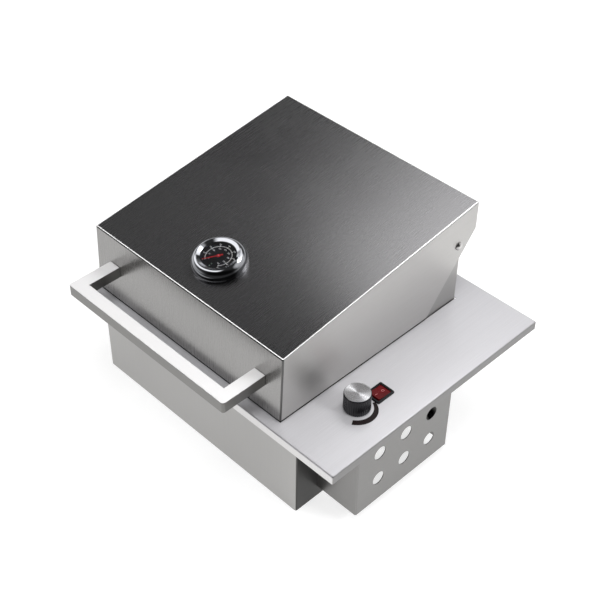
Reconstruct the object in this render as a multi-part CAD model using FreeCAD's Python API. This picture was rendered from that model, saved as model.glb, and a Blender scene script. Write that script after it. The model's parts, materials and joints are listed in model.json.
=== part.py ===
import FreeCAD, Part
import math
import os

# Drop-in electric barbecue: a folded hood over a firebox, a deck with the controls on its right,
# a casing below the deck and an open-bottomed control box beside it. All sizes are millimetres.
# The design frame has X to the right, Y to the back and Z up, with X = 0 on the hood's left side,
# Y = 0 at the foot of the hood's front and Z = 0 on top of the deck.

V = FreeCAD.Vector

# Hood
HOOD_WIDTH = 368.0
HOOD_DEPTH = 370.0
HOOD_FRONT_HEIGHT = 106.0
HOOD_REAR_HEIGHT = 155.5
HOOD_FRONT_LEAN = 5.0
HOOD_REAR_PANEL = 41.0
HOOD_CUT_RUN = 91.5
HOOD_FOOT_GAP = 3.0
HOOD_SHEET = 1.2
HOOD_INNER_BEND = 1.3
HOOD_HEM = 8.0

# Hood pivot
PIVOT_HEIGHT = 98.8
PIVOT_EDGE = 7.5
PIVOT_SIDE_GAP = 0.8
PIN_RADIUS = 3.0
PIN_HEAD_RADIUS = 6.2
PIN_HEAD_HEIGHT = 4.0
PIN_HEAD_GAP = 0.15
PIN_WASHER = 0.6
PIN_WASHER_RADIUS = 7.0
PIN_NUT = 4.5
PIN_NUT_FLATS = 10.0
PIN_TAIL = 1.5
PIN_CROWN = 3.0

# Handle
HANDLE_WIDTH = 309.5
HANDLE_REACH = 68.5
HANDLE_TOP = 61.5
HANDLE_BAR_DEPTH = 20.0
HANDLE_BAR_HEIGHT = 17.0
HANDLE_CORNER = 4.0
HANDLE_EDGE = 0.8
HANDLE_NECK_LENGTH = 0.8
HANDLE_NECK_DEPTH = 0.6
HANDLE_SCREW_RADIUS = 3.0
HANDLE_SCREW_BITE = 22.0
HANDLE_SCREW_HEAD_RADIUS = 5.2
HANDLE_SCREW_HEAD = 4.0
HANDLE_WASHER = 1.2
HANDLE_WASHER_RADIUS = 7.0

# Thermometer
THERMO_SETBACK = 67.6
THERMO_RADIUS = 37.8
THERMO_RIM_RADIUS = 29.0
THERMO_HEIGHT = 17.0
THERMO_HEEL = 1.4
THERMO_FLANK_OUT = 0.78
THERMO_FLANK_UP = 0.66
THERMO_CREST_WIDTH = 0.5
THERMO_CREST_DROP = 0.35
THERMO_BRIM_DROP = 2.8
THERMO_BORE_STEP = 0.4
THERMO_LIP = 4.5
THERMO_SPACER = 3.6
THERMO_GLASS = 1.4
THERMO_GLASS_SINK = 3.0
THERMO_DIAL = 0.6
THERMO_DIAL_SINK = 6.4
THERMO_SPINDLE_RADIUS = 0.8
THERMO_SPINDLE_GAP = 0.2
NEEDLE_LENGTH = 22.5
NEEDLE_TAIL = 6.0
NEEDLE_WIDTH = 2.0
NEEDLE_SHEET = 0.5
NEEDLE_LIFT = 0.9
NEEDLE_HUB_RADIUS = 2.3
NEEDLE_REST_DEG = 33.0
BOSS_RADIUS = 5.0
BOSS_LENGTH = 12.0
STEM_RADIUS = 2.5
STEM_LENGTH = 36.0
STEM_TIP_ROUND = 2.0
WING_NUT_RADIUS = 8.0
WING_NUT = 6.0
WING_SPAN = 28.0
WING_HEIGHT = 9.0
WING_SHEET = 2.4
WING_BITE = 2.0
WING_DROP = 0.5

# Deck
DECK_LEFT = 17.0
DECK_FRONT = 17.0
DECK_RIGHT = 108.5
DECK_REAR = 15.5
DECK_LIP = 13.0
DECK_SHEET = 1.5
DECK_INNER_BEND = 0.5
CORNER_RELIEF_RADIUS = 1.8
BUMPER_RADIUS = 3.2
BUMPER_INSET = 34.0
BUMPER_CLEARANCE = 0.3

# Upstand: the low wall on the deck that carries the hood's pins on its two ears
UPSTAND_FRONT_SETBACK = 13.0
UPSTAND_REAR_SETBACK = 28.0
UPSTAND_SHEET = 1.2
UPSTAND_INNER_BEND = 0.8
UPSTAND_FRONT_WALL = 20.0
UPSTAND_EAR_HEIGHT = 112.0
EAR_TOP_LENGTH = 46.0
EAR_SLOPE_RUN = 110.0

# Firebox tub
TUB_FLANGE = 14.0
TUB_FLANGE_GAP = 0.8
TUB_SHEET = 1.2
TUB_DEPTH = 120.0
TUB_CORNER = 14.0
TUB_FOOT = 8.0
TUB_EDGE_GAP = 1.5
TUB_FLANGE_CORNER = 3.5

# Grate and its rests
REST_TOP_DROP = 16.0
REST_LEG = 10.0
REST_SHEET = 1.5
REST_END_GAP = 34.0
GRATE_FRAME_RADIUS = 4.0
GRATE_ROD_RADIUS = 3.0
GRATE_ROD_RISE = 3.0
GRATE_ROD_PITCH = 15.0
GRATE_SIDE_GAP = 2.2
GRATE_CORNER = 14.0
GRATE_SEAT_GAP = 0.3

# Heating element
ELEMENT_RADIUS = 4.0
ELEMENT_DROP = 37.0
ELEMENT_PITCH = 46.0
ELEMENT_BEND = 21.0
ELEMENT_LEFT_GAP = 22.0
ELEMENT_RIGHT_GAP = 30.0
ELEMENT_INNER_STEP = 46.0
ELEMENT_END = 24.0
ELEMENT_COLLAR_RADIUS = 8.0
ELEMENT_COLLAR = 4.0
ELEMENT_NUT_FLATS = 17.0
ELEMENT_NUT = 5.0
ELEMENT_PIN_RADIUS = 2.0
ELEMENT_PIN = 11.0
ELEMENT_BEAD_RADIUS = 3.4
ELEMENT_BEAD = 4.0
HANGER_SHEET = 2.0
HANGER_HEIGHT = 15.0
HANGER_INSET = 98.0
HANGER_TAB = 12.0
HANGER_NOTCH_GAP = 0.15

# Drip tray
TRAY_SHEET = 1.0
TRAY_HEIGHT = 30.0
TRAY_MARGIN = 34.0
TRAY_CORNER = 16.0
TRAY_FOOT = 6.0
TRAY_RIM = 7.0

# Casing
CASING_FRONT = 2.0
CASING_BEYOND_HOOD = 27.0
CASING_HEIGHT = 152.0
CASING_SHEET = 1.0
CASING_INNER_BEND = 2.0
CASING_FLANGE = 11.0
PAN_FLANGE = 16.0
PAN_GAP = 0.1
PAN_FOOT = 1.9
CASING_LONG_SHARES = (0.15, 0.5, 0.85)
CASING_SHORT_SHARES = (0.3, 0.7)
VENT_COUNT = 14
VENT_WIDTH = 4.0
VENT_HEIGHT = 36.0
VENT_PITCH = 14.0
VENT_DROP = 60.0
STUD_RADIUS = 2.0
STUD_LENGTH = 12.0
STUD_NUT_FLATS = 7.0
STUD_NUT = 3.2
PAN_SCREW_RADIUS = 2.0
PAN_SCREW_LENGTH = 7.0
PAN_SCREW_HEAD_RADIUS = 3.8
PAN_SCREW_HEAD = 2.2
PAN_SCREW_RISE = 9.6
GROMMET_HOLE_RADIUS = 9.0
GROMMET_FLANGE = 2.5
GROMMET_SHEET = 1.5
GROMMET_WALL = 1.5
GROMMET_DROP = 66.0

# Control box
BOX_FRONT = 43.0
BOX_DEPTH = 182.0
BOX_INSET = 12.0
BOX_HEIGHT = 135.0
BOX_SHEET = 1.0
BOX_INNER_BEND = 1.5
BOX_FLANGE = 12.0
BOX_HOLE_RADIUS = 10.25
BOX_HOLE_PITCH = 50.0
BOX_HOLE_DROP = 44.5
BOX_HOLE_ROW_STEP = 48.3
BOX_SCREW_RADIUS = 2.0
BOX_SCREW_HEAD_RADIUS = 3.6
BOX_SCREW_HEAD = 2.4
BOX_SCREW_NUT = 3.2
BOX_SCREW_LENGTH = 9.0
BOX_SCREW_SHARES = (0.3, 0.8)

# Energy regulator and knob
REGULATOR_WIDTH = 34.0
REGULATOR_DEPTH = 40.0
REGULATOR_HEIGHT = 30.0
REGULATOR_CORNER = 2.0
REGULATOR_WALL_GAP = 4.0
REGULATOR_SETBACK = 46.5
REGULATOR_BUSH_RADIUS = 5.0
REGULATOR_BUSH = 5.5
REGULATOR_NUT_FLATS = 14.0
REGULATOR_NUT = 2.5
SHAFT_RADIUS = 3.0
SHAFT_FLAT = 1.5
SHAFT_FLAT_RISE = 1.0
SHAFT_DEPTH_IN_BODY = 8.0
SHAFT_RISE = 17.0
SHAFT_END_GAP = 0.2
SHAFT_TOP_GAP = 0.5
KNOB_RADIUS = 18.2
KNOB_TOP_RADIUS = 17.6
KNOB_TOP = 27.0
KNOB_GAP = 1.0
KNOB_RIBS = 40
KNOB_RIB_DEPTH = 0.5
KNOB_HOLLOW_RADIUS = 13.0
KNOB_HOLLOW = 7.0
KNOB_CAP = 1.2
KNOB_CAP_RADIUS = 17.2
KNOB_CAP_PROUD = 0.5
KNOB_CAP_EDGE = 0.3
KNOB_COLLAR = 1.2
POINTER_WIDTH = 1.3
POINTER_LENGTH = 11.0
POINTER_DEPTH = 0.4
POINTER_INSET = 0.8
POINTER_REST_DEG = 7.0
BLADE_WIDTH = 6.3
BLADE_SHEET = 0.8
BLADE_LENGTH = 8.0

# Rocker switch
SWITCH_SHIFT = 3.8
SWITCH_BODY_GAP = 4.7
SWITCH_BEZEL_WIDTH = 25.5
SWITCH_BEZEL_LENGTH = 31.5
SWITCH_BEZEL = 2.2
SWITCH_BEZEL_EDGE = 0.9
SWITCH_BEZEL_CORNER = 2.5
SWITCH_BODY_WIDTH = 21.8
SWITCH_BODY_LENGTH = 27.8
SWITCH_BODY_HEIGHT = 24.0
SWITCH_CUTOUT_GAP = 0.3
ROCKER_WIDTH = 18.6
ROCKER_RADIUS = 12.2
ROCKER_GAP = 0.3
ROCKER_AXIS_DROP = 2.7
ROCKER_MID = 2.0
ROCKER_END = 3.1
ROCKER_BELLY = 6.0
ROCKER_TILT_DEG = 8.0
ROCKER_WELL = 11.0
TRUNNION_RADIUS = 1.5
TRUNNION_LENGTH = 1.0

# Terminal block, earth stud and cord gland in the control box
BLOCK_WAYS = 3
BLOCK_PITCH = 13.0
BLOCK_HEIGHT = 22.0
BLOCK_THICK = 15.0
BLOCK_DROP = 112.0
BLOCK_REAR_GAP = 62.0
BLOCK_SCREW_RADIUS = 2.6
BLOCK_SCREW_PROUD = 1.2
BLOCK_WELL = 4.5
BLOCK_WIRE_HOLE = 2.2
EARTH_RADIUS = 2.5
EARTH_LENGTH = 16.0
EARTH_NUT_FLATS = 8.0
EARTH_NUT = 4.0
EARTH_NUT_SPACE = 2.5
GLAND_DROP = 104.0
GLAND_FROM_RIGHT = 34.0
GLAND_THREAD_RADIUS = 10.0
GLAND_BORE_RADIUS = 5.75
GLAND_HEX_FLATS = 24.0
GLAND_HEX = 6.0
GLAND_DOME_RADIUS = 11.0
GLAND_DOME = 12.0
GLAND_TIP_ROUND = 3.5
GLAND_TAIL = 9.0
GLAND_NUT = 5.0

# Share of a screw head's height that its rounding takes
HEAD_ROUND_SHARE = 0.6

# Clearance between a screw or pin and its hole, on the radius
HOLE_CLEARANCE = 0.1
RUNNING_CLEARANCE = 0.05

# How far a cutting shape reaches past the face it cuts, and how near two points count as one
CUT_REACH = 1.0
TOUCH = 1e-6
CROSS_TOUCH = 1e-3

# Levels and lines that several pieces share
UPSTAND_LEFT = HOOD_SHEET + PIVOT_SIDE_GAP
UPSTAND_RIGHT = HOOD_WIDTH - UPSTAND_LEFT
UPSTAND_REAR = HOOD_DEPTH - UPSTAND_REAR_SETBACK
PIVOT_Y = UPSTAND_REAR - PIVOT_EDGE

DECK_X0 = -DECK_LEFT
DECK_X1 = HOOD_WIDTH + DECK_RIGHT
DECK_Y0 = -DECK_FRONT
DECK_Y1 = HOOD_DEPTH + DECK_REAR
DECK_UNDERSIDE = -DECK_SHEET

FLANGE_X0 = UPSTAND_LEFT + UPSTAND_SHEET + TUB_FLANGE_GAP
FLANGE_X1 = UPSTAND_RIGHT - UPSTAND_SHEET - TUB_FLANGE_GAP
FLANGE_Y0 = UPSTAND_FRONT_SETBACK + UPSTAND_SHEET + TUB_FLANGE_GAP
FLANGE_Y1 = UPSTAND_REAR - UPSTAND_SHEET - TUB_FLANGE_GAP
TUB_X0 = FLANGE_X0 + TUB_FLANGE
TUB_X1 = FLANGE_X1 - TUB_FLANGE
TUB_Y0 = FLANGE_Y0 + TUB_FLANGE
TUB_Y1 = FLANGE_Y1 - TUB_FLANGE
TUB_MID_Y = (TUB_Y0 + TUB_Y1) / 2
TUB_FLOOR = TUB_SHEET - TUB_DEPTH

CASING_X0 = UPSTAND_LEFT
CASING_X1 = HOOD_WIDTH + CASING_BEYOND_HOOD
CASING_Y0 = CASING_FRONT
CASING_Y1 = UPSTAND_REAR
CASING_FOOT = -CASING_HEIGHT

BOX_X1 = DECK_X1 - BOX_INSET
BOX_Y0 = BOX_FRONT
BOX_Y1 = BOX_FRONT + BOX_DEPTH

KNOB_X = CASING_X1 + REGULATOR_WALL_GAP + REGULATOR_WIDTH / 2
KNOB_Y = BOX_Y0 + REGULATOR_SETBACK
SWITCH_X = KNOB_X + SWITCH_SHIFT
SWITCH_Y = KNOB_Y + REGULATOR_DEPTH / 2 + SWITCH_BODY_GAP + SWITCH_BODY_LENGTH / 2

# The row frame stands on the casing's foot, below the middle of the whole outline.
HANDLE_Y0 = -HANDLE_REACH
ORIGIN_SHIFT = V(-(DECK_X0 + DECK_X1) / 2, -(HANDLE_Y0 + DECK_Y1) / 2, CASING_HEIGHT)

X_AXIS = V(1, 0, 0)
Y_AXIS = V(0, 1, 0)
Z_AXIS = V(0, 0, 1)


def block(x0, x1, y0, y1, z0, z1):
    """A box between two corners."""
    return Part.makeBox(x1 - x0, y1 - y0, z1 - z0, V(x0, y0, z0))


def rod(radius, start, axis, length):
    """A round bar from a point along an axis."""
    return Part.makeCylinder(radius, length, start, axis)


def prism(points, sweep):
    """A closed outline pushed along a vector."""
    return Part.Face(Part.makePolygon(points + [points[0]])).extrude(sweep)


def prism_x(outline, x0, x1):
    """An outline of (y, z) points pushed along X."""
    return prism([V(x0, y, z) for y, z in outline], V(x1 - x0, 0, 0))


def prism_z(outline, z0, z1):
    """An outline of (x, y) points pushed up Z."""
    return prism([V(x, y, z0) for x, y in outline], V(0, 0, z1 - z0))


def hexagon(flats, height, start, axis, turn_deg=0.0):
    """A hexagonal bar, its width across flats, from a point along an axis."""
    corner = flats / math.sqrt(3)
    angles = [math.radians(turn_deg + 60 * i) for i in range(6)]
    bar = prism_z([(corner * math.cos(a), corner * math.sin(a)) for a in angles], 0, height)
    return aimed(bar, axis, start)


def aimed(shape, axis, start):
    """Turn a shape that was built up the Z axis along another axis, and put its foot at a point."""
    turned = shape.copy()
    turned.Placement = FreeCAD.Placement(start, FreeCAD.Rotation(Z_AXIS, axis))
    return turned


def turned_profile(outline):
    """A (radius, height) outline turned round the Z axis."""
    points = [V(r, 0, z) for r, z in outline]
    return Part.Face(Part.makePolygon(points + [points[0]])).revolve(V(), Z_AXIS, 360)


def rounded(shape, radius, wanted):
    """Round the edges for which wanted(first end, last end) holds."""
    edges = [e for e in shape.Edges if wanted(e.Vertexes[0].Point, e.Vertexes[-1].Point)]
    return shape.makeFillet(radius, edges)


def upright(a, b):
    """Whether an edge between two points runs up Z."""
    return abs(a.x - b.x) < TOUCH and abs(a.y - b.y) < TOUCH


def slab(x0, x1, y0, y1, z0, z1, corner):
    """A box with its four upright edges rounded."""
    return rounded(block(x0, x1, y0, y1, z0, z1), corner, upright)


def deep_pan(x0, x1, y0, y1, foot, top, corner, foot_radius, sheet):
    """A sheet pan with round corners, given by its outer sides."""

    def body(inset, z_top):
        solid = slab(x0 + inset, x1 - inset, y0 + inset, y1 - inset, foot + inset, z_top, corner - inset)
        low = foot + inset
        return rounded(solid, foot_radius - inset, lambda a, b: max(a.z, b.z) < low + TOUCH)

    return body(0, top).cut(body(sheet, top + sheet))


def fused(first, *others):
    """Join solids into one and merge the faces that run on."""
    return first.multiFuse(list(others)).removeSplitter()


def save(name, *solids):
    """Write one node in the row frame."""
    shape = Part.Compound([s.copy() for s in solids]) if len(solids) > 1 else solids[0].copy()
    shape.translate(ORIGIN_SHIFT)
    shape.exportStep("parts/" + name + ".step")


def front_face_point(z, depth):
    """A (y, z) point on the hood's front sheet, at a height and a depth below its outer face."""
    along, out = front_directions()
    y = HOOD_FRONT_LEAN * (z - HOOD_FOOT_GAP) / (HOOD_FRONT_HEIGHT - HOOD_FOOT_GAP)
    return y - out[0] * depth, z - out[1] * depth


def front_directions():
    """Unit vectors in (y, z): up the hood's front face, and out of it."""
    rise = HOOD_FRONT_HEIGHT - HOOD_FOOT_GAP
    length = math.hypot(HOOD_FRONT_LEAN, rise)
    along = (HOOD_FRONT_LEAN / length, rise / length)
    return along, (-along[1], along[0])


def top_directions():
    """Unit vectors in (y, z): back along the hood's top face, and out of it."""
    run = HOOD_DEPTH - HOOD_FRONT_LEAN
    rise = HOOD_REAR_HEIGHT - HOOD_FRONT_HEIGHT
    length = math.hypot(run, rise)
    along = (run / length, rise / length)
    return along, (-along[1], along[0])


TOP_ALONG, TOP_OUT = top_directions()
TOP_NORMAL = V(0, TOP_OUT[0], TOP_OUT[1])
FRONT_NORMAL = V(0, front_directions()[1][0], front_directions()[1][1])


def top_height(y):
    """Height of the hood's outer top face at a depth y."""
    return HOOD_FRONT_HEIGHT + (y - HOOD_FRONT_LEAN) * TOP_ALONG[1] / TOP_ALONG[0]


def meeting(p, d, q, e):
    """Where the line through p along d meets the line through q along e, all (y, z)."""
    cross = d[0] * e[1] - d[1] * e[0]
    t = ((q[0] - p[0]) * e[1] - (q[1] - p[1]) * e[0]) / cross
    return p[0] + d[0] * t, p[1] + d[1] * t


def ring(outer, bore, height, start, axis):
    """A washer or collar from a point along an axis."""
    return rod(outer, start, axis, height).cut(rod(bore, start, axis, height))


def dome_screw(radius, length, head_radius, head, start, axis):
    """A screw whose head's underside is at a point, with its shank along an axis."""
    cap = rod(head_radius, V(), -Z_AXIS, head)
    cap = rounded(cap, head * HEAD_ROUND_SHARE, lambda a, b: min(a.z, b.z) < -head / 2)
    return aimed(fused(cap, rod(radius, V(), Z_AXIS, length)), axis, start)


def mirrored_in_hood(shape):
    """The same shape on the other side of the hood's middle plane."""
    return shape.mirror(V(HOOD_WIDTH / 2, 0, 0), X_AXIS)


def bent_wire(points, bend):
    """A path of straight runs joined by round bends, through points in order."""
    edges = []
    start = points[0]
    for before, corner, after in zip(points, points[1:], points[2:]):
        to_start = (before - corner).normalize()
        to_end = (after - corner).normalize()
        half = to_start.getAngle(to_end) / 2
        reach = bend / math.tan(half)
        first = corner + to_start * reach
        last = corner + to_end * reach
        middle = corner + (to_start + to_end).normalize() * (bend / math.sin(half) - bend)
        edges.append(Part.LineSegment(start, first).toShape())
        edges.append(Part.Arc(first, middle, last).toShape())
        start = last
    edges.append(Part.LineSegment(start, points[-1]).toShape())
    return Part.Wire(edges)


def tube_along(path, radius):
    """A solid round bar along a path of runs and bends."""
    first = path.OrderedEdges[0]
    start = first.valueAt(first.FirstParameter)
    heading = first.tangentAt(first.FirstParameter)
    profile = Part.Wire([Part.Circle(start, heading, radius).toShape()])
    return path.makePipeShell([profile], True, True)


# Hood


def hood_outline():
    """The hood's side outline."""
    return [
        (0.0, HOOD_FOOT_GAP),
        (HOOD_FRONT_LEAN, HOOD_FRONT_HEIGHT),
        (HOOD_DEPTH, HOOD_REAR_HEIGHT),
        (HOOD_DEPTH, HOOD_REAR_HEIGHT - HOOD_REAR_PANEL),
        (HOOD_DEPTH - HOOD_CUT_RUN, HOOD_FOOT_GAP),
    ]


def on_rear_cut(p):
    """Whether a point lies on the slanting rear cut of the hood's sides."""
    y0, z0 = hood_outline()[3]
    y1, z1 = hood_outline()[4]
    return abs((p.y - y0) * (z1 - z0) - (p.z - z0) * (y1 - y0)) < CROSS_TOUCH


def is_hood_fold(a, b):
    """Whether an edge is one of the hood's folds, and not on its foot or its rear cut."""
    on_foot = max(a.z, b.z) < HOOD_FOOT_GAP + TOUCH
    return not on_foot and not (on_rear_cut(a) and on_rear_cut(b))


def hood_inside():
    """The space inside the hood's sheet, open at the foot and the rear cut."""
    low = -HOOD_FOOT_GAP
    front = front_face_point(HOOD_FOOT_GAP, HOOD_SHEET)
    along = front_directions()[0]
    top = (HOOD_FRONT_LEAN - TOP_OUT[0] * HOOD_SHEET, HOOD_FRONT_HEIGHT - TOP_OUT[1] * HOOD_SHEET)
    rear = (HOOD_DEPTH - HOOD_SHEET, low)
    outline = [
        meeting(front, along, rear, (1, 0)),
        meeting(front, along, top, TOP_ALONG),
        meeting(top, TOP_ALONG, rear, (0, 1)),
        rear,
    ]
    space = prism_x(outline, HOOD_SHEET, HOOD_WIDTH - HOOD_SHEET)
    return rounded(space, HOOD_INNER_BEND, lambda a, b: max(a.z, b.z) > low + TOUCH)


def hood_shell():
    """The folded hood with its front hem, pin holes, thermometer hole and handle screw holes."""
    outside = prism_x(hood_outline(), 0, HOOD_WIDTH)
    outside = rounded(outside, HOOD_INNER_BEND + HOOD_SHEET, is_hood_fold)
    shell = outside.cut(hood_inside())
    hem = block(
        HOOD_SHEET / 2,
        HOOD_WIDTH - HOOD_SHEET / 2,
        HOOD_SHEET / 2,
        HOOD_SHEET + HOOD_HEM,
        HOOD_FOOT_GAP,
        HOOD_FOOT_GAP + HOOD_SHEET,
    )
    shell = fused(shell, hem)
    pin_line = V(-CUT_REACH, PIVOT_Y, PIVOT_HEIGHT)
    holes = [rod(PIN_RADIUS + RUNNING_CLEARANCE, pin_line, X_AXIS, HOOD_WIDTH + 2 * CUT_REACH)]
    boss_start = thermo_seat() - TOP_NORMAL * (HOOD_SHEET + CUT_REACH)
    boss_hole = rod(BOSS_RADIUS + HOLE_CLEARANCE, boss_start, TOP_NORMAL, HOOD_SHEET + 2 * CUT_REACH)
    holes.append(boss_hole)
    for x in handle_leg_middles():
        start = handle_screw_seat(x) - FRONT_NORMAL * CUT_REACH
        holes.append(rod(HANDLE_SCREW_RADIUS + HOLE_CLEARANCE, start, FRONT_NORMAL, HOOD_SHEET + 2 * CUT_REACH))
    return shell.cut(holes)


# Handle


def handle_leg_middles():
    """X of the middle of each handle leg."""
    half = (HANDLE_WIDTH - HANDLE_BAR_DEPTH) / 2
    return HOOD_WIDTH / 2 - half, HOOD_WIDTH / 2 + half


def handle_screw_seat(x):
    """Where a handle screw's washer rests on the inside of the hood's front."""
    y, z = front_face_point(HANDLE_TOP - HANDLE_BAR_HEIGHT / 2, HOOD_SHEET)
    return V(x, y, z)


def hood_handle():
    """The mitred U bar, cut to the lean of the hood's front and stepped in there and bored for its screws."""
    x0 = (HOOD_WIDTH - HANDLE_WIDTH) / 2
    x1 = (HOOD_WIDTH + HANDLE_WIDTH) / 2
    z0 = HANDLE_TOP - HANDLE_BAR_HEIGHT
    y1 = 2 * HOOD_FRONT_LEAN
    bar = block(x0, x1, HANDLE_Y0, y1, z0, HANDLE_TOP)
    bar = rounded(bar, HANDLE_CORNER, lambda a, b: upright(a, b) and a.y < HANDLE_Y0 + TOUCH)
    grip_gap = block(
        x0 + HANDLE_BAR_DEPTH,
        x1 - HANDLE_BAR_DEPTH,
        HANDLE_Y0 + HANDLE_BAR_DEPTH,
        y1 + CUT_REACH,
        z0 - CUT_REACH,
        HANDLE_TOP + CUT_REACH,
    )
    bar = bar.cut(grip_gap)
    bar = rounded(bar, HANDLE_EDGE, lambda a, b: abs(a.z - b.z) < TOUCH and min(a.y, b.y) < y1 - TOUCH)
    hood_side = prism_x(hood_outline(), 0, HOOD_WIDTH)
    bar = bar.cut(hood_side)
    neck = hood_side.copy()
    neck.translate(V(0, -HANDLE_NECK_LENGTH, 0))
    half = HANDLE_BAR_DEPTH / 2 - HANDLE_NECK_DEPTH
    low = z0 + HANDLE_NECK_DEPTH
    high = HANDLE_TOP - HANDLE_NECK_DEPTH
    for x in handle_leg_middles():
        neck = neck.cut(block(x - half, x + half, HANDLE_Y0, y1, low, high))
    bar = bar.cut(neck)
    for x in handle_leg_middles():
        start = handle_screw_seat(x)
        depth = HOOD_SHEET + HANDLE_SCREW_BITE + CUT_REACH
        bar = bar.cut(rod(HANDLE_SCREW_RADIUS + HOLE_CLEARANCE, start, FRONT_NORMAL, depth))
    return bar


def handle_washer(x):
    """A flat washer under one handle screw's head."""
    bore = HANDLE_SCREW_RADIUS + HOLE_CLEARANCE
    return ring(HANDLE_WASHER_RADIUS, bore, HANDLE_WASHER, handle_screw_seat(x), -FRONT_NORMAL)


def handle_screw(x):
    """One screw from inside the hood into a handle leg."""
    under_head = handle_screw_seat(x) - FRONT_NORMAL * HANDLE_WASHER
    length = HANDLE_WASHER + HOOD_SHEET + HANDLE_SCREW_BITE
    return dome_screw(
        HANDLE_SCREW_RADIUS,
        length,
        HANDLE_SCREW_HEAD_RADIUS,
        HANDLE_SCREW_HEAD,
        under_head,
        FRONT_NORMAL,
    )


# Hood pivot


def pivot_stack():
    """The pin, washer and nut of the left ear, in that order."""
    centre = V(0, PIVOT_Y, PIVOT_HEIGHT)
    under_head = centre - X_AXIS * PIN_HEAD_GAP
    inner_face = UPSTAND_LEFT + UPSTAND_SHEET
    shank = rod(PIN_RADIUS, under_head, X_AXIS, inner_face + PIN_HEAD_GAP + PIN_NUT + PIN_TAIL)
    pin = fused(shank, aimed(pin_head(), -X_AXIS, under_head))
    bore = PIN_RADIUS + HOLE_CLEARANCE
    washer_start = centre + X_AXIS * (UPSTAND_LEFT - PIN_WASHER)
    washer = ring(PIN_WASHER_RADIUS, bore, PIN_WASHER, washer_start, X_AXIS)
    nut_start = centre + X_AXIS * inner_face
    nut = hexagon(PIN_NUT_FLATS, PIN_NUT, nut_start, X_AXIS)
    nut = nut.cut(rod(bore, nut_start, X_AXIS, PIN_NUT))
    return pin, washer, nut


def pin_head():
    """A domed pin head on its seat."""
    dome_radius = (PIN_HEAD_RADIUS**2 + PIN_CROWN**2) / (2 * PIN_CROWN)
    dome = Part.makeSphere(dome_radius, V(0, 0, PIN_HEAD_HEIGHT - dome_radius))
    return rod(PIN_HEAD_RADIUS, V(), Z_AXIS, PIN_HEAD_HEIGHT).common(dome)


# Thermometer, built up the Z axis from the hood's outer face


def thermo_seat():
    """Where the thermometer's axis meets the hood's outer top face."""
    y = THERMO_SETBACK
    return V(HOOD_WIDTH / 2, y, top_height(y))


def on_hood_top(shape):
    """Stand a thermometer piece on the hood's sloping top."""
    return aimed(shape, TOP_NORMAL, thermo_seat())


THERMO_CAVITY = THERMO_RIM_RADIUS - THERMO_BORE_STEP
GLASS_TOP = THERMO_HEIGHT - THERMO_GLASS_SINK
GLASS_FOOT = GLASS_TOP - THERMO_GLASS
DIAL_TOP = THERMO_HEIGHT - THERMO_DIAL_SINK
DIAL_FOOT = DIAL_TOP - THERMO_DIAL


def thermo_bezel():
    """The thick rounded bezel ring, with a lip over the glass."""
    lip = THERMO_RIM_RADIUS - THERMO_LIP
    low = THERMO_HEEL
    foot = V(THERMO_CAVITY, 0, 0)
    heel = V(THERMO_RADIUS, 0, 0)
    shoulder = V(THERMO_RADIUS, 0, low)
    flank = V(
        THERMO_RIM_RADIUS + (THERMO_RADIUS - THERMO_RIM_RADIUS) * THERMO_FLANK_OUT,
        0,
        low + (THERMO_HEIGHT - low) * THERMO_FLANK_UP,
    )
    crest_foot = THERMO_HEIGHT - THERMO_CREST_DROP
    crest_outside = V(THERMO_RIM_RADIUS + THERMO_CREST_WIDTH, 0, crest_foot)
    crest = V(THERMO_RIM_RADIUS, 0, THERMO_HEIGHT)
    crest_inside = V(THERMO_RIM_RADIUS - THERMO_CREST_WIDTH, 0, crest_foot)
    brim = V(lip, 0, THERMO_HEIGHT - THERMO_BRIM_DROP)
    edges = [
        Part.LineSegment(foot, heel).toShape(),
        Part.LineSegment(heel, shoulder).toShape(),
        Part.Arc(shoulder, flank, crest_outside).toShape(),
        Part.Arc(crest_outside, crest, crest_inside).toShape(),
        Part.LineSegment(crest_inside, brim).toShape(),
        Part.LineSegment(brim, V(lip, 0, GLASS_TOP)).toShape(),
        Part.LineSegment(V(lip, 0, GLASS_TOP), V(THERMO_CAVITY, 0, GLASS_TOP)).toShape(),
        Part.LineSegment(V(THERMO_CAVITY, 0, GLASS_TOP), foot).toShape(),
    ]
    return Part.Face(Part.Wire(edges)).revolve(V(), Z_AXIS, 360)


def thermo_case():
    """The movement case under the dial, its spindle, and the threaded boss through the hood."""
    case = rod(THERMO_CAVITY - HOLE_CLEARANCE, V(), Z_AXIS, DIAL_FOOT)
    spindle_length = GLASS_FOOT - DIAL_FOOT - THERMO_SPINDLE_GAP
    spindle = rod(THERMO_SPINDLE_RADIUS, V(0, 0, DIAL_FOOT), Z_AXIS, spindle_length)
    boss = rod(BOSS_RADIUS, V(), -Z_AXIS, BOSS_LENGTH)
    return fused(case, spindle, boss)


def thermo_dial():
    """The dial disc round the spindle."""
    bore = THERMO_SPINDLE_RADIUS + HOLE_CLEARANCE
    return ring(THERMO_CAVITY - HOLE_CLEARANCE, bore, THERMO_DIAL, V(0, 0, DIAL_FOOT), Z_AXIS)


def thermo_glass():
    """The glass under the bezel's lip."""
    return rod(THERMO_CAVITY - HOLE_CLEARANCE, V(0, 0, GLASS_FOOT), Z_AXIS, THERMO_GLASS)


def thermo_spacer():
    """The black spacer ring between the dial and the glass."""
    outer = THERMO_CAVITY - HOLE_CLEARANCE
    return ring(outer, outer - THERMO_SPACER, GLASS_FOOT - DIAL_TOP, V(0, 0, DIAL_TOP), Z_AXIS)


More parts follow.
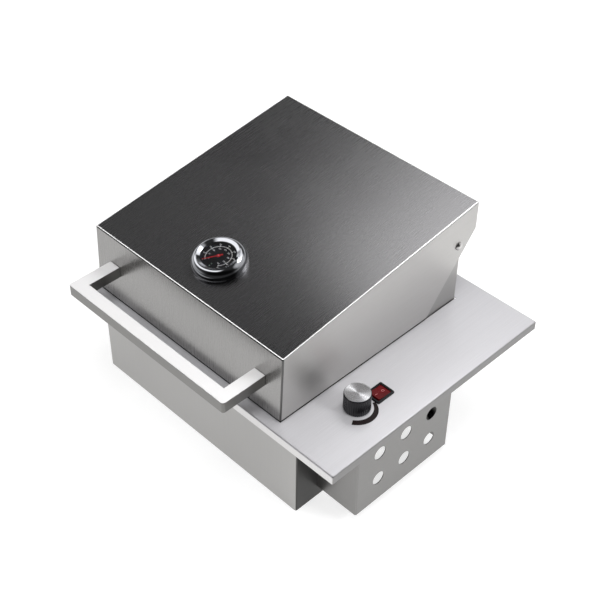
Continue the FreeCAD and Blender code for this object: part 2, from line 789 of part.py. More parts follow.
def thermo_needle():
    """The tapered needle and its hub, lying at the foot of the scale."""
    foot = DIAL_TOP + NEEDLE_LIFT
    half = NEEDLE_WIDTH / 2
    turn = math.radians(-90 - NEEDLE_REST_DEG)
    outline = [
        (-NEEDLE_TAIL, -half),
        (0, -half),
        (NEEDLE_LENGTH, -half / 4),
        (NEEDLE_LENGTH, half / 4),
        (0, half),
        (-NEEDLE_TAIL, half),
    ]
    turned = [
        (r * math.cos(turn) - h * math.sin(turn), r * math.sin(turn) + h * math.cos(turn))
        for r, h in outline
    ]
    hub = rod(NEEDLE_HUB_RADIUS, V(0, 0, DIAL_TOP + NEEDLE_LIFT / 2), Z_AXIS, NEEDLE_LIFT)
    needle = fused(prism_z(turned, foot, foot + NEEDLE_SHEET), hub)
    bore = THERMO_SPINDLE_RADIUS + RUNNING_CLEARANCE
    return needle.cut(rod(bore, V(0, 0, DIAL_TOP), Z_AXIS, GLASS_FOOT - DIAL_TOP))


def thermo_stem():
    """The sensing stem that hangs from the boss into the cooking space."""
    stem = rod(STEM_RADIUS, V(0, 0, -BOSS_LENGTH), -Z_AXIS, STEM_LENGTH)
    return rounded(stem, STEM_TIP_ROUND, lambda a, b: max(a.z, b.z) < -BOSS_LENGTH - TOUCH)


def thermo_nut():
    """The wing nut that holds the thermometer from inside the hood."""
    seat = V(0, 0, -HOOD_SHEET)
    nut = rod(WING_NUT_RADIUS, seat, -Z_AXIS, WING_NUT)
    for side in (-1, 1):
        inner = side * (WING_NUT_RADIUS - WING_BITE)
        outer = side * WING_SPAN / 2
        low = -HOOD_SHEET - WING_HEIGHT
        wing = [
            V(inner, -WING_SHEET / 2, -HOOD_SHEET - WING_DROP),
            V(inner, -WING_SHEET / 2, -HOOD_SHEET - WING_NUT),
            V(outer, -WING_SHEET / 2, low),
            V(outer, -WING_SHEET / 2, low + WING_HEIGHT / 2),
        ]
        nut = nut.fuse(prism(wing, V(0, WING_SHEET, 0)))
    bore = BOSS_RADIUS + HOLE_CLEARANCE
    hole = rod(bore, V(), -Z_AXIS, HOOD_SHEET + WING_HEIGHT + CUT_REACH)
    return nut.cut(hole).removeSplitter()


# Deck and upstand


def deck_plate():
    """The deck sheet with its turned-down lip, firebox opening and control holes."""
    fold = DECK_SHEET + DECK_INNER_BEND
    plate = block(DECK_X0, DECK_X1, DECK_Y0, DECK_Y1, -DECK_LIP, 0)
    plate = rounded(plate, fold, lambda a, b: max(a.z, b.z) > -TOUCH)
    low = -DECK_LIP - CUT_REACH
    under = block(
        DECK_X0 + DECK_SHEET,
        DECK_X1 - DECK_SHEET,
        DECK_Y0 + DECK_SHEET,
        DECK_Y1 - DECK_SHEET,
        low,
        DECK_UNDERSIDE,
    )
    plate = plate.cut(rounded(under, DECK_INNER_BEND, lambda a, b: max(a.z, b.z) > low + TOUCH))
    opening = slab(
        TUB_X0 - TUB_EDGE_GAP,
        TUB_X1 + TUB_EDGE_GAP,
        TUB_Y0 - TUB_EDGE_GAP,
        TUB_Y1 + TUB_EDGE_GAP,
        DECK_UNDERSIDE - CUT_REACH,
        CUT_REACH,
        TUB_CORNER + TUB_EDGE_GAP,
    )
    cuts = [opening, switch_prism(SWITCH_CUTOUT_GAP, DECK_UNDERSIDE - CUT_REACH, CUT_REACH)]
    through = DECK_SHEET + 2 * CUT_REACH
    bush_start = V(KNOB_X, KNOB_Y, CUT_REACH)
    cuts.append(rod(REGULATOR_BUSH_RADIUS + HOLE_CLEARANCE, bush_start, -Z_AXIS, through))
    for x in (UPSTAND_LEFT, UPSTAND_RIGHT):
        cuts.append(rod(CORNER_RELIEF_RADIUS, V(x, UPSTAND_REAR, CUT_REACH), -Z_AXIS, through))
    return plate.cut(cuts)


def hood_upstand():
    """The four-sided wall on the deck, low in front and rising to the two ears behind."""
    ear_front = UPSTAND_REAR - EAR_TOP_LENGTH
    outline = [
        (UPSTAND_FRONT_SETBACK, 0),
        (UPSTAND_FRONT_SETBACK, UPSTAND_FRONT_WALL),
        (ear_front - EAR_SLOPE_RUN, UPSTAND_FRONT_WALL),
        (ear_front, UPSTAND_EAR_HEIGHT),
        (UPSTAND_REAR, UPSTAND_EAR_HEIGHT),
        (UPSTAND_REAR, 0),
    ]
    wall = prism_x(outline, UPSTAND_LEFT, UPSTAND_RIGHT)
    wall = rounded(wall, UPSTAND_SHEET + UPSTAND_INNER_BEND, upright)
    inside = slab(
        UPSTAND_LEFT + UPSTAND_SHEET,
        UPSTAND_RIGHT - UPSTAND_SHEET,
        UPSTAND_FRONT_SETBACK + UPSTAND_SHEET,
        UPSTAND_REAR - UPSTAND_SHEET,
        -CUT_REACH,
        UPSTAND_EAR_HEIGHT + CUT_REACH,
        UPSTAND_INNER_BEND,
    )
    pin_start = V(0, PIVOT_Y, PIVOT_HEIGHT)
    pin_holes = rod(PIN_RADIUS + HOLE_CLEARANCE, pin_start, X_AXIS, HOOD_WIDTH)
    return wall.cut([inside, pin_holes])


def hood_bumpers():
    """Two rubber buttons on the deck, under the hood's front hem."""
    y = HOOD_SHEET + HOOD_HEM / 2
    height = HOOD_FOOT_GAP - BUMPER_CLEARANCE
    left = rod(BUMPER_RADIUS, V(BUMPER_INSET, y, 0), Z_AXIS, height)
    return [left, mirrored_in_hood(left)]


# Firebox


def firebox_tub():
    """The deep-drawn tub that hangs in the deck by its flange."""
    tub = deep_pan(
        TUB_X0, TUB_X1, TUB_Y0, TUB_Y1, -TUB_DEPTH, TUB_SHEET, TUB_CORNER, TUB_FOOT, TUB_SHEET
    )
    flange = slab(FLANGE_X0, FLANGE_X1, FLANGE_Y0, FLANGE_Y1, 0, TUB_SHEET, TUB_FLANGE_CORNER)
    mouth = slab(
        TUB_X0 + TUB_SHEET,
        TUB_X1 - TUB_SHEET,
        TUB_Y0 + TUB_SHEET,
        TUB_Y1 - TUB_SHEET,
        -CUT_REACH,
        TUB_SHEET + CUT_REACH,
        TUB_CORNER - TUB_SHEET,
    )
    tub = fused(tub, flange.cut(mouth))
    for y in element_end_rows():
        start = V(TUB_X1 - 2 * TUB_SHEET, y, ELEMENT_LEVEL)
        tub = tub.cut(rod(ELEMENT_RADIUS + HOLE_CLEARANCE, start, X_AXIS, 3 * TUB_SHEET))
    return tub


REST_TOP = -REST_TOP_DROP
ELEMENT_LEVEL = -ELEMENT_DROP


def grate_rests():
    """Two angle strips along the tub's sides, which carry the grate."""
    wall = TUB_X0 + TUB_SHEET
    y0 = TUB_Y0 + REST_END_GAP
    y1 = TUB_Y1 - REST_END_GAP
    ledge = block(wall, wall + REST_LEG, y0, y1, REST_TOP - REST_SHEET, REST_TOP)
    leg = block(wall, wall + REST_SHEET, y0, y1, REST_TOP - REST_LEG, REST_TOP)
    left = fused(ledge, leg)
    return left, mirrored_in_hood(left)


def cooking_grate():
    """A round-bar frame with bars from front to back, welded into one grate."""
    inset = TUB_SHEET + GRATE_SIDE_GAP + GRATE_FRAME_RADIUS
    x0, x1 = TUB_X0 + inset, TUB_X1 - inset
    y0, y1 = TUB_Y0 + inset, TUB_Y1 - inset
    level = REST_TOP + GRATE_SEAT_GAP + GRATE_FRAME_RADIUS
    middle = V((x0 + x1) / 2, y0, level)
    corners = [V(x1, y0, level), V(x1, y1, level), V(x0, y1, level), V(x0, y0, level)]
    frame = tube_along(bent_wire([middle] + corners + [middle], GRATE_CORNER), GRATE_FRAME_RADIUS)
    gaps = round((x1 - x0) / GRATE_ROD_PITCH)
    step = (x1 - x0) / gaps
    bars = [
        rod(GRATE_ROD_RADIUS, V(x0 + step * i, y0, level + GRATE_ROD_RISE), Y_AXIS, y1 - y0)
        for i in range(1, gaps)
    ]
    return fused(frame, *bars)


# Heating element


ELEMENT_ROWS = (-2.5, -1.5, -0.5, 0.5, 1.5, 2.5)


def element_end_rows():
    """Y of the two rows whose ends leave the tub."""
    return TUB_MID_Y - ELEMENT_PITCH / 2, TUB_MID_Y + ELEMENT_PITCH / 2


def heating_element():
    """The tubular element: six rows folded symmetrically, both ends out through the tub's right wall."""
    left = TUB_X0 + TUB_SHEET + ELEMENT_LEFT_GAP
    inner_left = left + ELEMENT_INNER_STEP
    right = TUB_X1 - TUB_SHEET - ELEMENT_RIGHT_GAP
    end = TUB_X1 + ELEMENT_END
    rear_half = [(end, 0.5), (inner_left, 0.5), (inner_left, 1.5), (right, 1.5), (right, 2.5), (left, 2.5)]
    front_half = [(x, -row) for x, row in reversed(rear_half)]
    points = [V(x, TUB_MID_Y + row * ELEMENT_PITCH, ELEMENT_LEVEL) for x, row in rear_half + front_half]
    return tube_along(bent_wire(points, ELEMENT_BEND), ELEMENT_RADIUS)


def element_collars():
    """The collars on the inside of the tub's wall, round the element's ends."""
    bore = ELEMENT_RADIUS + HOLE_CLEARANCE
    x = TUB_X1 - TUB_SHEET - ELEMENT_COLLAR
    return [
        ring(ELEMENT_COLLAR_RADIUS, bore, ELEMENT_COLLAR, V(x, y, ELEMENT_LEVEL), X_AXIS)
        for y in element_end_rows()
    ]


def element_nuts():
    """The nuts on the outside of the tub's wall, round the element's ends."""
    nuts = []
    for y in element_end_rows():
        start = V(TUB_X1, y, ELEMENT_LEVEL)
        bore = rod(ELEMENT_RADIUS + HOLE_CLEARANCE, start, X_AXIS, ELEMENT_NUT)
        nuts.append(hexagon(ELEMENT_NUT_FLATS, ELEMENT_NUT, start, X_AXIS).cut(bore))
    return nuts


def element_pins():
    """The terminal pins at the element's ends."""
    starts = [V(TUB_X1 + ELEMENT_END, y, ELEMENT_LEVEL) for y in element_end_rows()]
    return [rod(ELEMENT_PIN_RADIUS, start, X_AXIS, ELEMENT_PIN) for start in starts]


def element_beads():
    """The ceramic beads round the terminal pins."""
    x = TUB_X1 + ELEMENT_END
    bore = ELEMENT_PIN_RADIUS + HOLE_CLEARANCE
    return [
        ring(ELEMENT_BEAD_RADIUS, bore, ELEMENT_BEAD, V(x, y, ELEMENT_LEVEL), X_AXIS)
        for y in element_end_rows()
    ]


def element_hangers():
    """Two notched bars across the tub, which carry the element's rows."""
    y0 = TUB_Y0 + TUB_SHEET
    y1 = TUB_Y1 - TUB_SHEET
    foot = ELEMENT_LEVEL - HANGER_HEIGHT
    hangers = []
    for x in (TUB_X0 + HANGER_INSET, TUB_X1 - HANGER_INSET - HANGER_SHEET):
        bar = block(x, x + HANGER_SHEET, y0, y1, foot, ELEMENT_LEVEL)
        front_tab = block(x, x + HANGER_TAB, y0, y0 + HANGER_SHEET, foot, ELEMENT_LEVEL)
        rear_tab = block(x, x + HANGER_TAB, y1 - HANGER_SHEET, y1, foot, ELEMENT_LEVEL)
        bar = fused(bar, front_tab, rear_tab)
        for row in ELEMENT_ROWS:
            start = V(x - CUT_REACH, TUB_MID_Y + row * ELEMENT_PITCH, ELEMENT_LEVEL)
            reach = HANGER_SHEET + 2 * CUT_REACH
            bar = bar.cut(rod(ELEMENT_RADIUS + HANGER_NOTCH_GAP, start, X_AXIS, reach))
        hangers.append(bar)
    return hangers


def drip_tray():
    """The loose fat tray on the tub's floor, with a turned-out rim."""
    margin = TUB_SHEET + TRAY_MARGIN
    x0, x1 = TUB_X0 + margin, TUB_X1 - margin
    y0, y1 = TUB_Y0 + margin, TUB_Y1 - margin
    top = TUB_FLOOR + TRAY_HEIGHT
    tray = deep_pan(x0, x1, y0, y1, TUB_FLOOR, top, TRAY_CORNER, TRAY_FOOT, TRAY_SHEET)
    rim = slab(
        x0 - TRAY_RIM,
        x1 + TRAY_RIM,
        y0 - TRAY_RIM,
        y1 + TRAY_RIM,
        top - TRAY_SHEET,
        top,
        TRAY_CORNER + TRAY_RIM,
    )
    mouth = slab(
        x0 + TRAY_SHEET,
        x1 - TRAY_SHEET,
        y0 + TRAY_SHEET,
        y1 - TRAY_SHEET,
        top - 2 * TRAY_SHEET,
        top + CUT_REACH,
        TRAY_CORNER - TRAY_SHEET,
    )
    return fused(tray, rim.cut(mouth))


# Casing below the deck


def casing_wrap():
    """The four walls round the firebox, with a top flange under the deck and vents at the back."""
    corner = CASING_SHEET + CASING_INNER_BEND
    wrap = slab(CASING_X0, CASING_X1, CASING_Y0, CASING_Y1, CASING_FOOT, DECK_UNDERSIDE, corner)
    inside = slab(
        CASING_X0 + CASING_SHEET,
        CASING_X1 - CASING_SHEET,
        CASING_Y0 + CASING_SHEET,
        CASING_Y1 - CASING_SHEET,
        CASING_FOOT - CUT_REACH,
        DECK_UNDERSIDE - CASING_SHEET,
        CASING_INNER_BEND,
    )
    edge = CASING_SHEET + CASING_FLANGE
    mouth = block(
        CASING_X0 + edge,
        CASING_X1 - edge,
        CASING_Y0 + edge,
        CASING_Y1 - edge,
        DECK_UNDERSIDE - 2 * CASING_SHEET,
        0,
    )
    cuts = [inside, mouth]
    for x, y in stud_points():
        cuts.append(rod(STUD_RADIUS + HOLE_CLEARANCE, V(x, y, 0), -Z_AXIS, 2 * DECK_SHEET + CASING_SHEET))
    cuts += vent_slots()
    through = CASING_SHEET + 2 * CUT_REACH
    cuts.append(rod(GROMMET_HOLE_RADIUS, grommet_middle() - X_AXIS * through / 2, X_AXIS, through))
    for start, axis in pan_screw_seats():
        cuts.append(rod(PAN_SCREW_RADIUS + HOLE_CLEARANCE, start - axis * CUT_REACH, axis, through))
    for y, z in box_screw_points():
        start = V(CASING_X1 - 2 * CASING_SHEET, y, z)
        cuts.append(rod(BOX_SCREW_RADIUS + HOLE_CLEARANCE, start, X_AXIS, 3 * CASING_SHEET))
    return wrap.cut(cuts)


def vent_slots():
    """A row of upright vent slots in the casing's back."""
    middle = (CASING_X0 + CASING_X1) / 2
    slots = []
    for i in range(VENT_COUNT):
        x = middle + (i - (VENT_COUNT - 1) / 2) * VENT_PITCH
        slots.append(
            slab_y(x - VENT_WIDTH / 2, x + VENT_WIDTH / 2, CASING_Y1, -VENT_DROP - VENT_HEIGHT, -VENT_DROP)
        )
    return slots


def slab_y(x0, x1, y, z0, z1):
    """A round-ended upright slot cut through the wall whose outer face is at a depth y."""
    y0 = y - CASING_SHEET - CUT_REACH
    y1 = y + CUT_REACH
    radius = (x1 - x0) / 2
    middle = (x0 + x1) / 2
    straight = block(x0, x1, y0, y1, z0 + radius, z1 - radius)
    ends = [rod(radius, V(middle, y0, z), Y_AXIS, y1 - y0) for z in (z0 + radius, z1 - radius)]
    return fused(straight, *ends)


def casing_pan():
    """The shallow bottom pan, pushed up inside the casing's foot."""
    inset = CASING_SHEET + PAN_GAP
    pan = deep_pan(
        CASING_X0 + inset,
        CASING_X1 - inset,
        CASING_Y0 + inset,
        CASING_Y1 - inset,
        CASING_FOOT,
        CASING_FOOT + PAN_FLANGE,
        CASING_INNER_BEND,
        PAN_FOOT,
        CASING_SHEET,
    )
    holes = [
        rod(PAN_SCREW_RADIUS + HOLE_CLEARANCE, start, axis, PAN_SCREW_LENGTH)
        for start, axis in pan_screw_seats()
    ]
    return pan.cut(holes)


def pan_screw_seats():
    """Where the pan screws' heads rest on the casing's back and left wall, and which way they point."""
    z = CASING_FOOT + PAN_SCREW_RISE
    span_x = CASING_X1 - CASING_X0
    span_y = CASING_Y1 - CASING_Y0
    back = [(V(CASING_X0 + span_x * s, CASING_Y1, z), -Y_AXIS) for s in CASING_LONG_SHARES]
    left = [(V(CASING_X0, CASING_Y0 + span_y * s, z), X_AXIS) for s in CASING_LONG_SHARES]
    return back + left


def pan_screws():
    """The screws that hold the bottom pan."""
    return [
        dome_screw(PAN_SCREW_RADIUS, PAN_SCREW_LENGTH, PAN_SCREW_HEAD_RADIUS, PAN_SCREW_HEAD, start, axis)
        for start, axis in pan_screw_seats()
    ]


def stud_points():
    """Where the weld studs stand under the deck, in the middle of the casing's flange."""
    edge = CASING_SHEET + CASING_FLANGE / 2
    x0, x1 = CASING_X0 + edge, CASING_X1 - edge
    y0, y1 = CASING_Y0 + edge, CASING_Y1 - edge
    sides = [(x, y0 + (y1 - y0) * s) for x in (x0, x1) for s in CASING_LONG_SHARES]
    ends = [(x0 + (x1 - x0) * s, y) for y in (y0, y1) for s in CASING_SHORT_SHARES]
    return sides + ends


def deck_studs():
    """The weld studs that hang from the deck."""
    return [rod(STUD_RADIUS, V(x, y, DECK_UNDERSIDE), -Z_AXIS, STUD_LENGTH) for x, y in stud_points()]


def stud_nuts():
    """The nuts that pull the casing's flange up against the deck."""
    nuts = []
    for x, y in stud_points():
        start = V(x, y, DECK_UNDERSIDE - CASING_SHEET)
        nut = hexagon(STUD_NUT_FLATS, STUD_NUT, start, -Z_AXIS)
        nuts.append(nut.cut(rod(STUD_RADIUS + HOLE_CLEARANCE, start, -Z_AXIS, STUD_NUT)))
    return nuts


def grommet_middle():
    """Where the leads pass from the casing into the control box."""
    return V(CASING_X1 - CASING_SHEET / 2, SWITCH_Y + SWITCH_BODY_LENGTH, -GROMMET_DROP)


def lead_grommet():
    """The rubber grommet in the casing's right wall."""
    half = CASING_SHEET / 2
    hub = GROMMET_HOLE_RADIUS - HOLE_CLEARANCE
    brim = GROMMET_HOLE_RADIUS + GROMMET_FLANGE
    out = half + GROMMET_SHEET
    bore = hub - GROMMET_WALL
    outline = [
        (bore, -out), (brim, -out), (brim, -half), (hub, -half),
        (hub, half), (brim, half), (brim, out), (bore, out),
    ]
    return aimed(turned_profile(outline), X_AXIS, grommet_middle())


# Control box


def control_box():
    """The open-bottomed three-sided box for the controls, with six round holes in its side."""
    fold = BOX_SHEET + BOX_INNER_BEND
    box = block(CASING_X1, BOX_X1, BOX_Y0, BOX_Y1, -BOX_HEIGHT, DECK_UNDERSIDE)
    box = rounded(box, fold, lambda a, b: upright(a, b) and a.x > BOX_X1 - TOUCH)
    inner_x = BOX_X1 - BOX_SHEET
    inside = block(
        CASING_X1 - CUT_REACH,
        inner_x,
        BOX_Y0 + BOX_SHEET,
        BOX_Y1 - BOX_SHEET,
        -BOX_HEIGHT - CUT_REACH,
        0,
    )
    inside = rounded(inside, BOX_INNER_BEND, lambda a, b: upright(a, b) and a.x > inner_x - TOUCH)
    side_edge = BOX_SHEET + BOX_FLANGE
    front_flange = block(
        CASING_X1, CASING_X1 + BOX_SHEET, BOX_Y0, BOX_Y0 + side_edge, -BOX_HEIGHT, DECK_UNDERSIDE
    )
    rear_flange = block(
        CASING_X1, CASING_X1 + BOX_SHEET, BOX_Y1 - side_edge, BOX_Y1, -BOX_HEIGHT, DECK_UNDERSIDE
    )
    top_flange = block(
        inner_x - BOX_FLANGE,
        inner_x + BOX_SHEET / 2,
        BOX_Y0 + fold,
        BOX_Y1 - fold,
        DECK_UNDERSIDE - BOX_SHEET,
        DECK_UNDERSIDE,
    )
    box = fused(box.cut(inside), front_flange, rear_flange, top_flange)
    cuts = []
    through = BOX_SHEET + 2 * CUT_REACH
    for row in (0, 1):
        z = -BOX_HOLE_DROP - row * BOX_HOLE_ROW_STEP
        for column in (-1, 0, 1):
            y = (BOX_Y0 + BOX_Y1) / 2 + column * BOX_HOLE_PITCH
            cuts.append(rod(BOX_HOLE_RADIUS, V(inner_x - CUT_REACH, y, z), X_AXIS, through))
    for y, z in box_screw_points():
        start = V(CASING_X1 - CUT_REACH, y, z)
        cuts.append(rod(BOX_SCREW_RADIUS + HOLE_CLEARANCE, start, X_AXIS, through))
    gland_start = gland_seat() - Y_AXIS * (BOX_SHEET + CUT_REACH)
    cuts.append(rod(GLAND_THREAD_RADIUS + HOLE_CLEARANCE, gland_start, Y_AXIS, through))
    return box.cut(cuts)


def box_screw_points():
    """(y, z) of the four screws through the control box's side flanges."""
    edge = BOX_SHEET + BOX_FLANGE / 2
    return [(y, -BOX_HEIGHT * s) for y in (BOX_Y0 + edge, BOX_Y1 - edge) for s in BOX_SCREW_SHARES]


def box_screws():
    """The screws that hold the control box to the casing."""
    seats = [V(CASING_X1 + BOX_SHEET, y, z) for y, z in box_screw_points()]
    head = (BOX_SCREW_HEAD_RADIUS, BOX_SCREW_HEAD)
    return [dome_screw(BOX_SCREW_RADIUS, BOX_SCREW_LENGTH, *head, seat, -X_AXIS) for seat in seats]


def box_nuts():
    """The nuts of those screws, inside the casing."""
    nuts = []
    for y, z in box_screw_points():
        start = V(CASING_X1 - CASING_SHEET, y, z)
        nut = hexagon(STUD_NUT_FLATS, BOX_SCREW_NUT, start, -X_AXIS)
        nuts.append(nut.cut(rod(BOX_SCREW_RADIUS + HOLE_CLEARANCE, start, -X_AXIS, BOX_SCREW_NUT)))
    return nuts


# Cord gland, terminal block and earth stud


def gland_seat():
    """Where the gland's hexagon rests on the back of the control box."""
    return V(BOX_X1 - GLAND_FROM_RIGHT, BOX_Y1, -GLAND_DROP)


def cord_gland():
    """The gland body: thread inwards, hexagon and dome outwards, bored for a cord."""
    seat = gland_seat()
    inner_end = seat - Y_AXIS * (GLAND_TAIL + BOX_SHEET)
    length = GLAND_TAIL + BOX_SHEET + GLAND_HEX + GLAND_DOME
    thread = rod(GLAND_THREAD_RADIUS, inner_end, Y_AXIS, GLAND_TAIL + BOX_SHEET)
    dome = rod(GLAND_DOME_RADIUS, seat + Y_AXIS * GLAND_HEX, Y_AXIS, GLAND_DOME)
    tip = seat.y + GLAND_HEX + GLAND_DOME
    dome = rounded(dome, GLAND_TIP_ROUND, lambda a, b: min(a.y, b.y) > tip - TOUCH)
    body = fused(thread, hexagon(GLAND_HEX_FLATS, GLAND_HEX, seat, Y_AXIS), dome)
    return body.cut(rod(GLAND_BORE_RADIUS, inner_end, Y_AXIS, length))


def gland_nut():
    """The gland's locknut inside the control box."""
    start = gland_seat() - Y_AXIS * BOX_SHEET
    nut = hexagon(GLAND_HEX_FLATS, GLAND_NUT, start, -Y_AXIS)
    return nut.cut(rod(GLAND_THREAD_RADIUS + HOLE_CLEARANCE, start, -Y_AXIS, GLAND_NUT))


def block_ways():
    """Y of the middle of each way of the terminal block."""
    last = BOX_Y1 - BLOCK_REAR_GAP - BLOCK_PITCH / 2
    return [last - BLOCK_PITCH * i for i in range(BLOCK_WAYS)]


def terminal_block():
    """The terminal block on the casing's wall, with a wire hole and a screw well for each way."""
    ways = block_ways()
    z0 = -BLOCK_DROP - BLOCK_HEIGHT / 2
    z1 = z0 + BLOCK_HEIGHT
    half = BLOCK_PITCH / 2
    body = block(CASING_X1, CASING_X1 + BLOCK_THICK, min(ways) - half, max(ways) + half, z0, z1)
    wire_x = CASING_X1 + BLOCK_THICK - BLOCK_WELL - BLOCK_WIRE_HOLE / 2
    cuts = []
    for y in ways:
        cuts.append(rod(BLOCK_WIRE_HOLE, V(wire_x, y, z0), Z_AXIS, BLOCK_HEIGHT))
        well_start = V(CASING_X1 + BLOCK_THICK - BLOCK_WELL, y, -BLOCK_DROP)
        cuts.append(rod(BLOCK_SCREW_RADIUS + HOLE_CLEARANCE, well_start, X_AXIS, BLOCK_WELL))
    return body.cut(cuts)


def block_screws():
    """The brass clamping screws of the terminal block."""
    x = CASING_X1 + BLOCK_THICK - BLOCK_WELL
    length = BLOCK_WELL + BLOCK_SCREW_PROUD
    return [rod(BLOCK_SCREW_RADIUS, V(x, y, -BLOCK_DROP), X_AXIS, length) for y in block_ways()]


def earth_point():
    """Where the earth stud stands on the casing's wall."""
    return V(CASING_X1, min(block_ways()) - 2 * BLOCK_PITCH, -BLOCK_DROP)


def earth_stud():
    """The brass earth stud."""
    return rod(EARTH_RADIUS, earth_point(), X_AXIS, EARTH_LENGTH)


def earth_nuts():
    """Two nuts on the earth stud."""
    nuts = []
    for start in (earth_point(), earth_point() + X_AXIS * (EARTH_NUT + EARTH_NUT_SPACE)):
        nut = hexagon(EARTH_NUT_FLATS, EARTH_NUT, start, X_AXIS)
        nuts.append(nut.cut(rod(EARTH_RADIUS + HOLE_CLEARANCE, start, X_AXIS, EARTH_NUT)))
    return nuts


# Energy regulator and knob

REGULATOR_TOP = DECK_UNDERSIDE
SHAFT_FOOT = REGULATOR_TOP - SHAFT_DEPTH_IN_BODY


def blade(x, y, top, across):
    """A push-on terminal blade that hangs from a face, its width along X or Y."""
    half_x, half_y = (BLADE_WIDTH / 2, BLADE_SHEET / 2) if across else (BLADE_SHEET / 2, BLADE_WIDTH / 2)
    return block(x - half_x, x + half_x, y - half_y, y + half_y, top - BLADE_LENGTH, top)


def regulator_body():
    """The energy regulator under the deck, with its threaded bush up through it."""
    body = block(
        KNOB_X - REGULATOR_WIDTH / 2,
        KNOB_X + REGULATOR_WIDTH / 2,
        KNOB_Y - REGULATOR_DEPTH / 2,
        KNOB_Y + REGULATOR_DEPTH / 2,
        REGULATOR_TOP - REGULATOR_HEIGHT,
        REGULATOR_TOP,
    )
    body = rounded(body, REGULATOR_CORNER, upright)
    bush = rod(REGULATOR_BUSH_RADIUS, V(KNOB_X, KNOB_Y, REGULATOR_TOP), Z_AXIS, DECK_SHEET + REGULATOR_BUSH)
    bore_foot = V(KNOB_X, KNOB_Y, SHAFT_FOOT - SHAFT_END_GAP)
    bore = rod(SHAFT_RADIUS + RUNNING_CLEARANCE, bore_foot, Z_AXIS, REGULATOR_HEIGHT + REGULATOR_BUSH)
    return fused(body, bush).cut(bore)


def regulator_blades():
    """The regulator's terminal blades."""
    top = REGULATOR_TOP - REGULATOR_HEIGHT
    columns = (KNOB_X - REGULATOR_WIDTH / 4, KNOB_X + REGULATOR_WIDTH / 4)
    rows = (KNOB_Y - REGULATOR_DEPTH / 4, KNOB_Y + REGULATOR_DEPTH / 4)
    return [blade(x, y, top, True) for x in columns for y in rows]


def regulator_nut():
    """The thin nut on the bush, hidden under the knob."""
    start = V(KNOB_X, KNOB_Y, 0)
    nut = hexagon(REGULATOR_NUT_FLATS, REGULATOR_NUT, start, Z_AXIS)
    return nut.cut(rod(REGULATOR_BUSH_RADIUS + HOLE_CLEARANCE, start, Z_AXIS, REGULATOR_NUT))


def shaft_bar(radius, z0, z1, flat):
    """A round bar with a flat on its back above the bush."""
    bar = rod(radius, V(KNOB_X, KNOB_Y, z0), Z_AXIS, z1 - z0)
    flat_foot = max(z0, REGULATOR_BUSH + SHAFT_FLAT_RISE)
    wide = 2 * radius
    cut = block(KNOB_X - wide, KNOB_X + wide, KNOB_Y + flat, KNOB_Y + wide, flat_foot, z1 + CUT_REACH)
    return bar.cut(cut)


def regulator_shaft():
    """The regulator's flatted shaft."""
    return shaft_bar(SHAFT_RADIUS, SHAFT_FOOT, SHAFT_RISE, SHAFT_FLAT)


def knob_body():
    """The ribbed knob, hollow under its skirt and bored for the flatted shaft."""
    points = []
    for i in range(2 * KNOB_RIBS):
        angle = math.pi * i / KNOB_RIBS
        radius = KNOB_RADIUS - KNOB_RIB_DEPTH * (i % 2)
        points.append((KNOB_X + radius * math.cos(angle), KNOB_Y + radius * math.sin(angle)))
    top = KNOB_TOP - KNOB_CAP_PROUD
    body = prism_z(points, KNOB_GAP, top - KNOB_COLLAR)
    middle = V(KNOB_X, KNOB_Y, top - KNOB_COLLAR)
    body = body.fuse(rod(KNOB_TOP_RADIUS, middle, Z_AXIS, KNOB_COLLAR))
    hollow = rod(KNOB_HOLLOW_RADIUS, V(KNOB_X, KNOB_Y, 0), Z_AXIS, KNOB_GAP + KNOB_HOLLOW)
    pocket_foot = V(KNOB_X, KNOB_Y, KNOB_TOP - KNOB_CAP)
    pocket = rod(KNOB_CAP_RADIUS + RUNNING_CLEARANCE, pocket_foot, Z_AXIS, KNOB_CAP)
    bore = shaft_bar(
        SHAFT_RADIUS + RUNNING_CLEARANCE,
        KNOB_GAP + KNOB_HOLLOW - CUT_REACH,
        SHAFT_RISE + SHAFT_TOP_GAP,
        SHAFT_FLAT + RUNNING_CLEARANCE,
    )
    return body.cut([hollow, pocket, bore])


def knob_cap():
    """The spun aluminium disc on the knob, with its pointer groove."""
    foot = V(KNOB_X, KNOB_Y, KNOB_TOP - KNOB_CAP)
    cap = rod(KNOB_CAP_RADIUS, foot, Z_AXIS, KNOB_CAP)
    cap = rounded(cap, KNOB_CAP_EDGE, lambda a, b: min(a.z, b.z) > KNOB_TOP - TOUCH)
    far = KNOB_CAP_RADIUS - POINTER_INSET
    groove = block(
        KNOB_X - POINTER_WIDTH / 2,
        KNOB_X + POINTER_WIDTH / 2,
        KNOB_Y - far,
        KNOB_Y - far + POINTER_LENGTH,
        KNOB_TOP - POINTER_DEPTH,
        KNOB_TOP + CUT_REACH,
    )
    groove.rotate(V(KNOB_X, KNOB_Y, 0), Z_AXIS, POINTER_REST_DEG)
    return cap.cut(groove)


# Rocker switch


def switch_prism(gap, z0, z1):
    """The switch body's outline, grown by a gap, between two levels."""
    half_x = SWITCH_BODY_WIDTH / 2 + gap
    half_y = SWITCH_BODY_LENGTH / 2 + gap
    return block(SWITCH_X - half_x, SWITCH_X + half_x, SWITCH_Y - half_y, SWITCH_Y + half_y, z0, z1)


def rocker_axis():
    """The middle of the rocker's axis."""
    return V(SWITCH_X, SWITCH_Y, SWITCH_BEZEL - ROCKER_AXIS_DROP)


